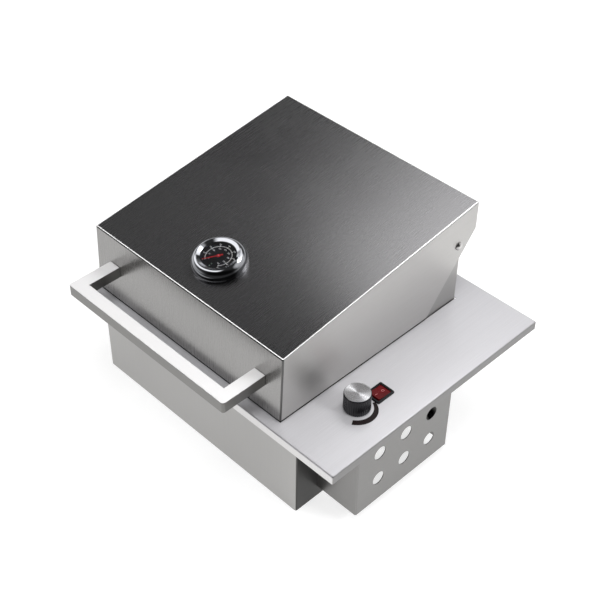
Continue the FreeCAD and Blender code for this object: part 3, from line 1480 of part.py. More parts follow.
def switch_housing():
    """The switch's bezel and body, with the rocker's well and the sockets for its trunnions."""
    bezel = block(
        SWITCH_X - SWITCH_BEZEL_WIDTH / 2,
        SWITCH_X + SWITCH_BEZEL_WIDTH / 2,
        SWITCH_Y - SWITCH_BEZEL_LENGTH / 2,
        SWITCH_Y + SWITCH_BEZEL_LENGTH / 2,
        0,
        SWITCH_BEZEL,
    )
    bezel = rounded(bezel, SWITCH_BEZEL_CORNER, upright)
    bezel = rounded(bezel, SWITCH_BEZEL_EDGE, lambda a, b: min(a.z, b.z) > TOUCH)
    housing = fused(bezel, switch_prism(0, -SWITCH_BODY_HEIGHT, SWITCH_BEZEL / 2))
    half_x = ROCKER_WIDTH / 2 + ROCKER_GAP
    half_y = ROCKER_RADIUS + ROCKER_GAP
    well = block(
        SWITCH_X - half_x,
        SWITCH_X + half_x,
        SWITCH_Y - half_y,
        SWITCH_Y + half_y,
        -ROCKER_WELL,
        SWITCH_BEZEL,
    )
    socket_reach = ROCKER_GAP + TRUNNION_LENGTH + HOLE_CLEARANCE
    return housing.cut([well, trunnions(TRUNNION_RADIUS + RUNNING_CLEARANCE, socket_reach)])


def trunnions(radius, reach):
    """A bar across the rocker's axis, reaching past each of its sides."""
    start = rocker_axis() - X_AXIS * (ROCKER_WIDTH / 2 + reach)
    return rod(radius, start, X_AXIS, ROCKER_WIDTH + 2 * reach)


def switch_rocker():
    """The rocker, tilted with its back half pressed, on two trunnions."""
    drum = rod(ROCKER_RADIUS, V(-ROCKER_WIDTH / 2, 0, 0), X_AXIS, ROCKER_WIDTH)
    wide = ROCKER_RADIUS + CUT_REACH
    outline = [
        (-wide, -ROCKER_BELLY),
        (-wide, ROCKER_END),
        (0, ROCKER_MID),
        (wide, ROCKER_END),
        (wide, -ROCKER_BELLY),
    ]
    rocker = drum.common(prism_x(outline, -ROCKER_WIDTH, ROCKER_WIDTH))
    rocker.rotate(V(), X_AXIS, -ROCKER_TILT_DEG)
    rocker.translate(rocker_axis())
    return fused(rocker, trunnions(TRUNNION_RADIUS, ROCKER_GAP + TRUNNION_LENGTH))


def switch_blades():
    """The switch's terminal blades."""
    columns = (SWITCH_X - SWITCH_BODY_WIDTH / 4, SWITCH_X + SWITCH_BODY_WIDTH / 4)
    rows = (SWITCH_Y - SWITCH_BODY_LENGTH / 4, SWITCH_Y + SWITCH_BODY_LENGTH / 4)
    return [blade(x, y, -SWITCH_BODY_HEIGHT, False) for x in columns for y in rows]


def build():
    """Make every node."""
    os.makedirs("parts", exist_ok=True)
    save("hood_shell", hood_shell())
    save("hood_handle", hood_handle())
    save("handle_screws", *[handle_screw(x) for x in handle_leg_middles()])
    save("handle_washers", *[handle_washer(x) for x in handle_leg_middles()])
    pin, washer, nut = pivot_stack()
    save("hinge_pin_left", pin)
    save("hinge_pin_right", mirrored_in_hood(pin))
    save("hinge_washers", washer, mirrored_in_hood(washer))
    save("hinge_nuts", nut, mirrored_in_hood(nut))
    save("thermometer_bezel", on_hood_top(thermo_bezel()))
    save("thermometer_case", on_hood_top(thermo_case()))
    save("thermometer_dial", on_hood_top(thermo_dial()))
    save("thermometer_spacer", on_hood_top(thermo_spacer()))
    save("thermometer_glass", on_hood_top(thermo_glass()))
    save("thermometer_needle", on_hood_top(thermo_needle()))
    save("thermometer_stem", on_hood_top(thermo_stem()))
    save("thermometer_nut", on_hood_top(thermo_nut()))
    save("deck_plate", deck_plate())
    save("hood_upstand", hood_upstand())
    save("hood_bumpers", *hood_bumpers())
    save("firebox_tub", firebox_tub())
    save("grate_rests", *grate_rests())
    save("cooking_grate", cooking_grate())
    save("heating_element", heating_element())
    save("element_collars", *element_collars())
    save("element_nuts", *element_nuts())
    save("element_pins", *element_pins())
    save("element_beads", *element_beads())
    save("element_hangers", *element_hangers())
    save("drip_tray", drip_tray())
    save("casing_wrap", casing_wrap())
    save("casing_pan", casing_pan())
    save("pan_screws", *pan_screws())
    save("deck_studs", *deck_studs())
    save("stud_nuts", *stud_nuts())
    save("lead_grommet", lead_grommet())
    save("control_box", control_box())
    save("box_screws", *box_screws())
    save("box_nuts", *box_nuts())
    save("cord_gland", cord_gland())
    save("gland_nut", gland_nut())
    save("terminal_block", terminal_block())
    save("block_screws", *block_screws())
    save("earth_stud", earth_stud())
    save("earth_nuts", *earth_nuts())
    save("regulator_body", regulator_body())
    save("regulator_blades", *regulator_blades())
    save("regulator_nut", regulator_nut())
    save("regulator_shaft", regulator_shaft())
    save("knob_body", knob_body())
    save("knob_cap", knob_cap())
    save("switch_housing", switch_housing())
    save("switch_rocker", switch_rocker())
    save("switch_blades", *switch_blades())


build()
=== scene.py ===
import json
import math

import bmesh
import bpy
from mathutils import Matrix, Vector


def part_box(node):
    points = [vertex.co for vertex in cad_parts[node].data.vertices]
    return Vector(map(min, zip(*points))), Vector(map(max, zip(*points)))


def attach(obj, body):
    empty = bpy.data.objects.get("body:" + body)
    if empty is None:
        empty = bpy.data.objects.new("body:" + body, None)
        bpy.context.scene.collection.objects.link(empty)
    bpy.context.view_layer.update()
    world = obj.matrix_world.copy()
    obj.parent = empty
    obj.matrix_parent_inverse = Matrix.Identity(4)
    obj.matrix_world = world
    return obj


# Looks of the drop-in electric barbecue: brushed steel, chrome thermometer, knob, switch, marks, lights and
# camera. Places are in metres; the sizes of the marks are in millimetres.

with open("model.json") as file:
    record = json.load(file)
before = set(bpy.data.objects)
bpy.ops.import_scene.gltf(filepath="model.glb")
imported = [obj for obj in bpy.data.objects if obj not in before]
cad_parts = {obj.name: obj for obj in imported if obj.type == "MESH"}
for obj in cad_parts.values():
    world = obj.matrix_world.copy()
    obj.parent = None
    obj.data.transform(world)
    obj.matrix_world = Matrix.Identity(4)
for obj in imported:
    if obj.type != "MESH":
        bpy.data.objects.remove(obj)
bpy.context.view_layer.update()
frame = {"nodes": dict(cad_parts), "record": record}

nodes = frame["nodes"]
joints = {joint["name"]: joint for joint in frame["record"]["behaviour"]["joints"]}

MM = 0.001
UP = Vector((0.0, 0.0, 1.0))
DECK_TOP = 0.152

# The part of the normal above which a face counts as one that faces along an axis
FACE_LIMIT = 0.7


# Node graph helpers

class Nodes:
    """A node tree with short calls for what the materials and the sky share."""

    def __init__(self, tree):
        self.tree = tree
        tree.nodes.clear()
        self.coordinates = self.node("ShaderNodeTexCoord")

    def node(self, kind, **settings):
        made = self.tree.nodes.new(kind)
        for key, value in settings.items():
            setattr(made, key, value)
        return made

    def link(self, source, target):
        self.tree.links.new(source, target)

    def give(self, target, value):
        """Set an input to a plain value, or link it to another node's output."""
        if isinstance(value, bpy.types.NodeSocket):
            self.link(value, target)
        else:
            target.default_value = value

    def math(self, operation, first, *others):
        """One operation on a value alone, or on two or more values in turn."""
        for second in others or (0.0,):
            made = self.node("ShaderNodeMath", operation=operation)
            self.give(made.inputs[0], first)
            self.give(made.inputs[1], second)
            first = made.outputs[0]
        return first

    def vector(self, operation, first, second=(0.0, 0.0, 0.0)):
        made = self.node("ShaderNodeVectorMath", operation=operation)
        self.give(made.inputs[0], first)
        self.give(made.inputs[1], second)
        return made.outputs["Value" if operation in ("DOT_PRODUCT", "LENGTH") else "Vector"]

    def part(self, output, axis):
        """One axis of a coordinate output, such as the object's own Normal."""
        parts = self.node("ShaderNodeSeparateXYZ")
        self.link(self.coordinates.outputs[output], parts.inputs[0])
        return parts.outputs[axis]

    def span(self, source, low, high, source_low=0.25, source_high=0.75, smooth=False):
        """Map a range of the source onto low to high, and hold it there outside the range."""
        made = self.node("ShaderNodeMapRange", interpolation_type="SMOOTHSTEP" if smooth else "LINEAR")
        limits = {"From Min": source_low, "From Max": source_high, "To Min": low, "To Max": high}
        for key, value in limits.items():
            made.inputs[key].default_value = value
        self.link(source, made.inputs["Value"])
        return made.outputs["Result"]


class Surface(Nodes):
    """A material's nodes round one Principled shader."""

    def __init__(self, name):
        self.material = bpy.data.materials.new(name)
        self.material.use_nodes = True
        super().__init__(self.material.node_tree)
        self.shader = self.node("ShaderNodeBsdfPrincipled")
        self.link(self.shader.outputs[0], self.node("ShaderNodeOutputMaterial").inputs["Surface"])

    def put(self, **values):
        for key, value in values.items():
            self.shader.inputs[key.replace("_", " ")].default_value = value

    def feed(self, value, name):
        self.give(self.shader.inputs[name], value)

    def noise(self, stretch, detail=2.0, roughness=0.5):
        """Noise with its waves per metre given for all axes at once or for X, Y and Z."""
        mapping = self.node("ShaderNodeMapping")
        mapping.inputs["Scale"].default_value = stretch if isinstance(stretch, tuple) else (stretch,) * 3
        self.link(self.coordinates.outputs["Object"], mapping.inputs["Vector"])
        made = self.node("ShaderNodeTexNoise")
        made.inputs["Scale"].default_value = 1.0
        made.inputs["Detail"].default_value = detail
        made.inputs["Roughness"].default_value = roughness
        self.link(mapping.outputs[0], made.inputs["Vector"])
        return made.outputs["Fac"]

    def blend(self, share, first, second, **settings):
        """From one colour to another by a share; each is a plain colour or an output."""
        made = self.node("ShaderNodeMix", data_type="RGBA", **settings)
        self.give(made.inputs["Factor"], share)
        for key, colour in (("A", first), ("B", second)):
            self.give(made.inputs[key], (*colour, 1.0) if isinstance(colour, tuple) else colour)
        return made.outputs["Result"]

    def either(self, share, first, second):
        """From one number to another by a share."""
        made = self.node("ShaderNodeMix", data_type="FLOAT")
        self.link(share, made.inputs["Factor"])
        self.link(first, made.inputs["A"])
        self.link(second, made.inputs["B"])
        return made.outputs["Result"]

    def scaled(self, colour, share):
        made = self.node("ShaderNodeVectorMath", operation="SCALE")
        self.link(colour, made.inputs[0])
        self.link(share, made.inputs["Scale"])
        return made.outputs[0]

    def bump(self, height, strength, distance):
        made = self.node("ShaderNodeBump")
        made.inputs["Strength"].default_value = strength
        made.inputs["Distance"].default_value = distance
        self.link(height, made.inputs["Height"])
        self.feed(made.outputs["Normal"], "Normal")

    def tangent(self, direction):
        turned = self.node("ShaderNodeVectorTransform", vector_type="VECTOR", convert_from="OBJECT",
                           convert_to="WORLD")
        self.give(turned.inputs[0], direction)
        self.feed(turned.outputs[0], "Tangent")

    def facing(self, axis):
        """How squarely the surface faces along an object axis, from 0 to 1."""
        return self.math("ABSOLUTE", self.part("Normal", axis))

    def by_face(self, shares):
        """A share for each face direction, given for faces along X, Y and Z."""
        normal = self.coordinates.outputs["Normal"]
        return self.vector("DOT_PRODUCT", self.vector("MULTIPLY", normal, normal), shares)

    def band(self, source, limits):
        """1 between the two middle limits, fading to 0 at the outer two."""
        rise_from, rise_to, fall_from, fall_to = limits
        return self.math("MULTIPLY", self.span(source, 0.0, 1.0, rise_from, rise_to),
                         self.span(source, 1.0, 0.0, fall_from, fall_to))

    def within(self, low, high, inset):
        """1 inside a level rectangle drawn in by inset, 0 outside it."""
        sides = []
        for axis in (0, 1):
            middle = (low[axis] + high[axis]) / 2
            half = (high[axis] - low[axis]) / 2 - inset
            away = self.math("ABSOLUTE", self.math("SUBTRACT", self.part("Object", axis), middle))
            sides.append(self.math("LESS_THAN", away, half))
        return self.math("MULTIPLY", *sides)

    def grain(self, across, along):
        """Noise drawn out along the grain: along Y on level and side faces, along Z on front faces."""
        level, side, front = (self.noise(stretch, detail=3.0, roughness=0.6) for stretch in (
            (across, along, 0.0), (0.0, along, across), (across, 0.0, along)))
        upper = self.either(self.math("GREATER_THAN", self.facing("X"), FACE_LIMIT), level, side)
        return self.either(self.math("GREATER_THAN", self.facing("Y"), FACE_LIMIT), upper, front)


def shade(colour, share):
    """A colour made darker or lighter by a share."""
    return tuple(channel * share for channel in colour)


# Brushed sheet

# Faint tints of the light on upright and on level sheet
WARM_TINT = (1.0, 0.985, 0.965)
COOL_TINT = (0.995, 0.985, 1.005)

# Waves per metre across and along the grain, and how much of each shows in the tone
FINE_GRAIN = (2200.0, 22.0)
BROAD_GRAIN = (600.0, 3.0)
FINE_SHARE = 0.6
BROAD_SHARE = 0.4
PATCH_GRAIN = 9.0
PATCH_ROUGH = 0.012
BRUSH_BUMP = 0.05
FINE_DEPTH = 0.00003

# Where the noise, the tone, a level face, a face to the right that gets painted shade and an upright face
# that gets painted shade begin and end to count
NOISE_SPAN = (0.3, 0.7)
SHEEN_SPAN = (0.35, 0.65)
LEVEL_SPAN = (0.93, 0.985)
RIGHT_SHADE_SPAN = (0.5, 0.8)
FLANK_SHADE_SPAN = (0.45, 0.75)

# How far up the face of a fold is turned: a painted highlight on the crest, a painted shade line below it and
# painted shade at the hem at the foot
CREST_HIGHLIGHT_BAND = (0.74, 0.80, 0.965, 0.982)
LINE_SHADE_BAND = (0.15, 0.22, 0.68, 0.74)
HEM_SHADE_BAND = (-0.97, -0.93, -0.20, -0.10)

# How far to the side a face is turned: the painted shade line below the crest ends there, and upright corners
# get painted shade there
LINE_SHADE_SIDES = (0.2, 0.4)
CORNER_TURN = (0.15, 0.30)

# How dark the painted shade in the corners is, and how much less metallic the crests are, so that their
# painted highlight shows
CORNER_SHADE_SHARE = 0.75
CREST_MATT = 0.9

# Colours of the painted shade and of the painted highlight at the folds, and of the painted shade lines on
# level faces
FOLD_PAINTED_SHADE = (0.02, 0.02, 0.02)
FOLD_PAINTED_HIGHLIGHT = (0.95, 0.95, 0.95)
RIM_PAINTED_SHADE = (0.03, 0.03, 0.03)


def painted_fold_light(graph):
    """Shares of the painted highlight on a sheet's fold crests and of the painted shade below them, at hems
    and corners.
    """
    upward = graph.part("Normal", "Z")
    crest = graph.band(upward, CREST_HIGHLIGHT_BAND)
    # The painted shade line below the crest, kept off faces turned to the side
    groove = graph.math("MULTIPLY", graph.band(upward, LINE_SHADE_BAND),
                        graph.span(graph.facing("X"), 1.0, 0.0, *LINE_SHADE_SIDES))
    # Painted shade in the upright corners between front and side faces
    corner = graph.math("MULTIPLY", graph.span(graph.facing("X"), 0.0, 1.0, *CORNER_TURN),
                        graph.span(graph.facing("Y"), 0.0, 1.0, *CORNER_TURN), CORNER_SHADE_SHARE)
    return crest, graph.math("MAXIMUM", groove, graph.band(upward, HEM_SHADE_BAND), corner)


def brushed(name, colour, rough, streak=0.03, across=(1.0, 0.0, 0.05), aniso=0.6, tone=0.03, grain=1.0,
            faces=(1.0, 1.0, 1.0), top_metal=1.0, side_rough=0.0, bends=False, right=1.0, rims=()):
    """Brushed sheet: the grain runs front to back on level and side faces, up and down on front faces.

    faces scales the colour by face direction, a painted light and shade per face, and right scales that of
    the faces towards +X, a painted shade. top_metal is how metallic a level face is. bends paints a highlight
    on the crests of the folds and shade below them, at the hem and in the upright corners. Each of rims is a
    level rectangle with the two insets, in millimetres, that a painted shade line lies between.
    """
    graph = Surface(name)
    fine, broad = (graph.grain(waves * grain, along) for waves, along in (FINE_GRAIN, BROAD_GRAIN))
    patch = graph.noise(PATCH_GRAIN)
    lift = graph.math("ADD", graph.math("MULTIPLY", fine, FINE_SHARE),
                      graph.math("MULTIPLY", broad, BROAD_SHARE))
    sheen = graph.blend(graph.span(lift, 0.0, 1.0, *SHEEN_SPAN), shade(colour, 1.0 - tone),
                        shade(colour, 1.0 + tone))
    rough_fine = graph.span(fine, rough - streak / 2, rough + streak / 2, *NOISE_SPAN)
    rough_patch = graph.span(patch, -PATCH_ROUGH, PATCH_ROUGH, *NOISE_SPAN)
    rough_face = graph.math("MULTIPLY", graph.by_face((1.0, 0.0, 0.0)), side_rough)
    graph.feed(graph.math("ADD", rough_fine, rough_patch, rough_face), "Roughness")
    level = graph.facing("Z")
    metal = graph.span(level, 1.0, top_metal, *LEVEL_SPAN) if top_metal < 1.0 else 1.0
    # Painted light and shade: the colour is scaled by the direction each face is turned
    surface = graph.blend(1.0, graph.scaled(sheen, graph.by_face(faces)),
                          graph.blend(level, WARM_TINT, COOL_TINT), blend_type="MULTIPLY")
    # Painted highlight on the crests of the folds, and painted shade below them, at the hem and in the
    # corners
    if bends:
        crest, groove = painted_fold_light(graph)
        surface = graph.blend(crest, graph.blend(groove, surface, FOLD_PAINTED_SHADE), FOLD_PAINTED_HIGHLIGHT)
        metal = graph.math("SUBTRACT", metal, graph.math("MULTIPLY", crest, CREST_MATT))
    # Painted shade on the faces towards +X
    if right < 1.0:
        surface = graph.scaled(surface, graph.span(graph.part("Normal", "X"), 1.0, right, *RIGHT_SHADE_SPAN))
    # Painted shade lines on the level faces inside each rectangle, between its two insets
    for low, high, inset, far_inset in rims:
        shade_rim = graph.math("SUBTRACT", graph.within(low, high, inset * MM),
                         graph.within(low, high, far_inset * MM))
        surface = graph.blend(graph.math("MULTIPLY", shade_rim, level), surface, RIM_PAINTED_SHADE)
    graph.feed(surface, "Base Color")
    graph.feed(metal, "Metallic")
    graph.put(Anisotropic=aniso)
    graph.tangent(across)
    graph.bump(fine, BRUSH_BUMP, FINE_DEPTH)
    return graph.material


# Other finishes

# Waves per metre of each pattern, its darker tone, its spread of roughness and the strength of its relief
SMEAR_GRAIN = 220.0
SMEAR_DIM = 0.94
SMEAR_BUMP = 0.05
CLOUD_GRAIN = 60.0
SPECK_BUMP = 0.2
SPECK_ROUGH = 0.05
RING_GRAIN = 3500.0
RING_DIM = 0.85
RING_BUMP = 0.15
RING_ROUGH = 0.04
GLASS_GRAIN = 150.0
GLASS_WEAR = 0.02
MOTTLE_GRAIN = 1200.0
MOTTLE_ROUGH = 0.08
PRINT_GLOSS = 0.25


def polished(name, colour, rough, wear=0.04, flank=1.0):
    """Plated or polished metal with faint smears in its gloss; flank paints shade on its upright faces."""
    graph = Surface(name)
    smear = graph.noise(SMEAR_GRAIN, detail=4.0, roughness=0.6)
    plate = graph.blend(graph.span(smear, 0.0, 1.0), shade(colour, SMEAR_DIM), colour)
    # Painted shade: upright faces darkened by flank, standing in for a dark reflection
    if flank < 1.0:
        plate = graph.scaled(plate, graph.span(graph.facing("Z"), flank, 1.0, *FLANK_SHADE_SPAN))
    graph.feed(plate, "Base Color")
    graph.feed(graph.span(smear, rough, rough + wear), "Roughness")
    graph.put(Metallic=1.0)
    graph.bump(smear, SMEAR_BUMP, FINE_DEPTH)
    return graph.material


def moulded(name, colour, rough, grain=900.0, depth=0.00005, dark=0.85, gloss=0.5):
    """Moulded plastic or rubber with a fine spark-eroded grain."""
    graph = Surface(name)
    speck = graph.noise(grain, detail=3.0, roughness=0.6)
    cloud = graph.noise(CLOUD_GRAIN)
    graph.feed(graph.blend(graph.span(cloud, 0.0, 1.0), shade(colour, dark), colour), "Base Color")
    graph.feed(graph.span(speck, rough - SPECK_ROUGH, rough + SPECK_ROUGH), "Roughness")
    graph.put(Specular_IOR_Level=gloss)
    graph.bump(speck, SPECK_BUMP, depth)
    return graph.material


def spun(name, colour, rough, centre, aniso):
    """Spun aluminium: fine circular grooves about an upright line through centre."""
    graph = Surface(name)
    away = graph.vector("SUBTRACT", graph.coordinates.outputs["Object"], centre)
    flat = graph.vector("MULTIPLY", away, (1.0, 1.0, 0.0))
    rings = graph.node("ShaderNodeTexNoise", noise_dimensions="1D")
    rings.inputs["Scale"].default_value = RING_GRAIN
    rings.inputs["Detail"].default_value = 2.0
    graph.link(graph.vector("LENGTH", flat), rings.inputs["W"])
    groove = rings.outputs["Fac"]
    graph.tangent(flat)
    graph.feed(graph.blend(graph.span(groove, 0.0, 1.0), shade(colour, RING_DIM), colour), "Base Color")
    graph.feed(graph.span(groove, rough - RING_ROUGH, rough + RING_ROUGH), "Roughness")
    graph.put(Metallic=1.0, Anisotropic=aniso)
    graph.bump(groove, RING_BUMP, FINE_DEPTH)
    return graph.material


def clear(name, colour, rough, index):
    """Clear glass."""
    graph = Surface(name)
    smear = graph.noise(GLASS_GRAIN, detail=3.0)
    graph.feed(graph.span(smear, rough, rough + GLASS_WEAR), "Roughness")
    graph.put(Base_Color=(*colour, 1.0), Transmission_Weight=1.0, IOR=index)
    return graph.material


def enamel(name, colour, rough, speck=0.03):
    """Flat print or paint with a slight mottle."""
    graph = Surface(name)
    mottle = graph.noise(MOTTLE_GRAIN)
    low = tuple(max(0.0, channel - speck) for channel in colour)
    graph.feed(graph.blend(graph.span(mottle, 0.0, 1.0), low, colour), "Base Color")
    graph.feed(graph.span(mottle, rough, rough + MOTTLE_ROUGH), "Roughness")
    graph.put(Specular_IOR_Level=PRINT_GLOSS)
    return graph.material


# Materials

KNOB_CENTRE = Vector(joints["heat_dial"]["pos_m"])
STEEL = (0.50, 0.50, 0.50)

# The level rectangles in which the hood and the wall under it meet the deck; painted shade lines lie along
# them on the deck
FOOT_RISE = 8 * MM
foot_points = [vertex.co for vertex in nodes["hood_shell"].data.vertices
               if vertex.co.z < DECK_TOP + FOOT_RISE]
hood_foot = tuple((pick(point.x for point in foot_points), pick(point.y for point in foot_points))
                  for pick in (min, max))
upstand_foot = tuple(tuple(corner[:2]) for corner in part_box("hood_upstand"))

# Each faces share below scales a sheet's colour by face direction, a painted light and shade per face; the
# hood's bends paint a highlight on its fold crests and shade below them
hood_steel = brushed("hood_steel", STEEL, 0.27, streak=0.038, tone=0.035, faces=(1.03, 0.62, 0.72),
                     side_rough=0.14, bends=True)
upstand_steel = brushed("upstand_steel", STEEL, 0.36, aniso=0.3, faces=(0.84, 0.7, 0.8), side_rough=0.1)
# The deck's side lips get painted shade and its front lip painted light; rims paints shade lines under the
# hood's edge and round the foot of the wall under it
deck_steel = brushed("deck_steel", (0.575, 0.575, 0.585), 0.34, aniso=0.3, tone=0.05, grain=1.3,
                     faces=(0.39, 1.12, 0.98), top_metal=0.36,
                     rims=((*hood_foot, 0.3, 3.5), (*upstand_foot, -1.4, 0.0)))
# right paints shade on the casing's faces towards +X, under the deck
casing_steel = brushed("casing_steel", (0.40, 0.40, 0.40), 0.34, across=(0.0, 1.0, 0.2), aniso=0.4,
                       faces=(0.95, 0.97, 1.0), right=0.15)
# The handle's sides get painted shade; its level top is lighter and mostly unmetallic, so the lamps light it
# white
handle_steel = brushed("handle_steel", (0.86, 0.86, 0.845), 0.30, aniso=0.1, tone=0.005, streak=0.01,
                       faces=(0.20, 0.24, 1.0), top_metal=0.15)
box_steel = brushed("box_steel", (0.25, 0.25, 0.25), 0.36, across=(0.0, 1.0, 0.2), aniso=0.3,
                    faces=(0.9, 1.0, 1.0))
tub_steel = polished("tub_steel", (0.52, 0.51, 0.50), 0.30, 0.12)
fastener_steel = polished("fastener_steel", (0.62, 0.61, 0.60), 0.22, 0.08)
case_steel = polished("case_steel", (0.55, 0.55, 0.55), 0.30)
# flank paints shade on the bezel's upright faces, a painted dark reflection
bezel_chrome = polished("bezel_chrome", (0.50, 0.51, 0.54), 0.03, 0.03, flank=0.35)
grate_chrome = polished("grate_chrome", (0.70, 0.70, 0.70), 0.12, 0.08)
element_sheath = moulded("element_sheath", (0.10, 0.085, 0.075), 0.45, grain=500.0)
ceramic_white = moulded("ceramic_white", (0.78, 0.75, 0.68), 0.45)
bumper_rubber = moulded("bumper_rubber", (0.03, 0.03, 0.03), 0.6)
nylon_black = moulded("nylon_black", (0.025, 0.025, 0.027), 0.4)
block_plastic = moulded("block_plastic", (0.03, 0.03, 0.03), 0.4)
terminal_brass = polished("terminal_brass", (0.72, 0.53, 0.25), 0.25, 0.1)
regulator_plastic = moulded("regulator_plastic", (0.10, 0.07, 0.05), 0.4)
dial_black = moulded("dial_black", (0.003, 0.004, 0.008), 0.5, grain=1500.0, depth=0.00002, gloss=0.1)
gauge_glass = clear("gauge_glass", (1.0, 1.0, 1.0), 0.0, 1.45)
needle_red = enamel("needle_red", (0.62, 0.03, 0.04), 0.35)
knob_black = moulded("knob_black", (0.008, 0.008, 0.010), 0.22, depth=0.00001, gloss=0.35)
knob_face = spun("knob_face", (0.68, 0.68, 0.70), 0.28, tuple(KNOB_CENTRE), aniso=1.0)
switch_plastic = moulded("switch_plastic", (0.008, 0.008, 0.009), 0.25, depth=0.00002, gloss=0.25)
rocker_red = moulded("rocker_red", (0.11, 0.001, 0.003), 0.24, depth=0.00001, dark=0.6, gloss=0.3)
print_black = enamel("print_black", (0.012, 0.008, 0.008), 0.5, 0.004)
print_white = enamel("print_white", (0.80, 0.82, 0.84), 0.5)
print_green = enamel("print_green", (0.42, 0.62, 0.52), 0.5)
print_red_mark = enamel("print_red_mark", (0.50, 0.18, 0.18), 0.4)

FINISHES = {
    "hood_shell": hood_steel, "hood_handle": handle_steel, "handle_screws": fastener_steel,
    "handle_washers": fastener_steel, "hinge_pin_left": fastener_steel, "hinge_pin_right": fastener_steel,
    "hinge_washers": fastener_steel, "hinge_nuts": fastener_steel, "thermometer_bezel": bezel_chrome,
    "thermometer_case": case_steel, "thermometer_dial": dial_black, "thermometer_spacer": nylon_black,
    "thermometer_glass": gauge_glass, "thermometer_needle": needle_red, "thermometer_stem": case_steel,
    "thermometer_nut": fastener_steel, "deck_plate": deck_steel, "hood_upstand": upstand_steel,
    "hood_bumpers": bumper_rubber, "firebox_tub": tub_steel, "grate_rests": tub_steel,
    "cooking_grate": grate_chrome, "heating_element": element_sheath, "element_collars": fastener_steel,
    "element_nuts": fastener_steel, "element_pins": fastener_steel, "element_beads": ceramic_white,
    "element_hangers": tub_steel, "drip_tray": tub_steel, "casing_wrap": casing_steel,
    "casing_pan": casing_steel, "pan_screws": fastener_steel, "deck_studs": fastener_steel,
    "stud_nuts": fastener_steel, "lead_grommet": bumper_rubber, "control_box": box_steel,
    "box_screws": fastener_steel, "box_nuts": fastener_steel, "cord_gland": nylon_black,
    "gland_nut": nylon_black, "terminal_block": block_plastic, "block_screws": terminal_brass,
    "earth_stud": terminal_brass, "earth_nuts": terminal_brass, "regulator_body": regulator_plastic,
    "regulator_blades": terminal_brass, "regulator_nut": fastener_steel, "regulator_shaft": case_steel,
    "knob_body": knob_black, "knob_cap": knob_face, "switch_housing": switch_plastic,
    "switch_rocker": rocker_red, "switch_blades": terminal_brass,
}

for node_name, solid in nodes.items():
    solid.data.materials.clear()
    solid.data.materials.append(FINISHES.get(node_name, case_steel))


# Printed marks and other small pieces

PRINT_SINK = 0.00002
PRINT_THICKNESS = 0.00008


def dressed(name, mesh, material, body):
    """A piece of the scene made from a mesh, riding on a body."""
    piece = bpy.data.objects.new(name, mesh)
    bpy.context.collection.objects.link(piece)
    mesh.materials.clear()
    mesh.materials.append(material)
    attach(piece, body)
    return piece


def strip(inner, outer, up):
    """A closed thin strip between two equal rows of points, raised along up."""
    count = len(inner)
    last = count - 1
    lift = up * PRINT_THICKNESS
    vertices = [*inner, *outer, *(point + lift for point in inner), *(point + lift for point in outer)]
    faces = []
    for step in range(last):
        following = step + 1
        faces.append((step, following, count + following, count + step))
        faces.append((2 * count + step, 3 * count + step, 3 * count + following, 2 * count + following))
        faces.append((step, 2 * count + step, 2 * count + following, following))
        faces.append((count + step, count + following, 3 * count + following, 3 * count + step))
    faces.append((0, count, 3 * count, 2 * count))
    faces.append((last, 2 * count + last, 3 * count + last, count + last))
    return vertices, faces


def joined(name, parts, material, body):
    """One piece made from several closed strips."""
    vertices = []
    faces = []
    for part_vertices, part_faces in parts:
        base = len(vertices)
        vertices += part_vertices
        faces += [tuple(base + index for index in face) for face in part_faces]
    mesh = bpy.data.meshes.new(name)
    mesh.from_pydata([tuple(vertex) for vertex in vertices], [], faces)
    mesh.update()
    shell = bmesh.new()
    shell.from_mesh(mesh)
    bmesh.ops.recalc_face_normals(shell, faces=shell.faces)
    shell.to_mesh(mesh)
    shell.free()
    return dressed(name, mesh, material, body)


# Heat wedge round the knob: a crescent that narrows as it turns towards the switch
WEDGE_START = -59.0
WEDGE_END = 66.0
WEDGE_STEPS = 48
WEDGE_OUTER = 31.6
WEDGE_OUTER_TAPER = 6.0
WEDGE_INNER = 23.6
WEDGE_INNER_TAPER = 2.2

wedge_inner = []
wedge_outer = []
wedge_centre = Vector((KNOB_CENTRE.x, KNOB_CENTRE.y, DECK_TOP - PRINT_SINK))
for step in range(WEDGE_STEPS + 1):
    share = step / WEDGE_STEPS
    turn = math.radians(WEDGE_START + share * (WEDGE_END - WEDGE_START))
    aim = Vector((math.cos(turn), math.sin(turn), 0.0))
    wedge_inner.append(wedge_centre + aim * (WEDGE_INNER - WEDGE_INNER_TAPER * share) * MM)
    wedge_outer.append(wedge_centre + aim * (WEDGE_OUTER - WEDGE_OUTER_TAPER * share * share) * MM)
joined("heat_wedge", [strip(wedge_inner, wedge_outer, UP)], print_black, "base")


# Thermometer scale: an arc with ticks and numbers on the dial
DIAL_UP = -Vector(joints["needle_sweep"]["axis"]).normalized()
DIAL_RIGHT = Vector((1.0, 0.0, 0.0))
DIAL_BACK = DIAL_UP.cross(DIAL_RIGHT).normalized()
needle_pivot = Vector(joints["needle_sweep"]["pos_m"])
dial_mesh = nodes["thermometer_dial"].data
dial_level = max((vertex.co - needle_pivot).dot(DIAL_UP) for vertex in dial_mesh.vertices)
dial_centre = needle_pivot + DIAL_UP * dial_level


def on_dial(radius, degrees):
    """Point on the dial's face, degrees clockwise from straight up as the dial is read."""
    turn = math.radians(degrees)
    return dial_centre + (DIAL_RIGHT * math.sin(turn) + DIAL_BACK * math.cos(turn)) * radius * MM


def dial_arc(radius, width, first, last, steps=40):
    """A line round the dial from one turn to another."""
    turns = [first + (last - first) * step / steps for step in range(steps + 1)]
    inner, outer = ([on_dial(edge, turn) for turn in turns]
                    for edge in (radius - width / 2, radius + width / 2))
    return strip(inner, outer, DIAL_UP)


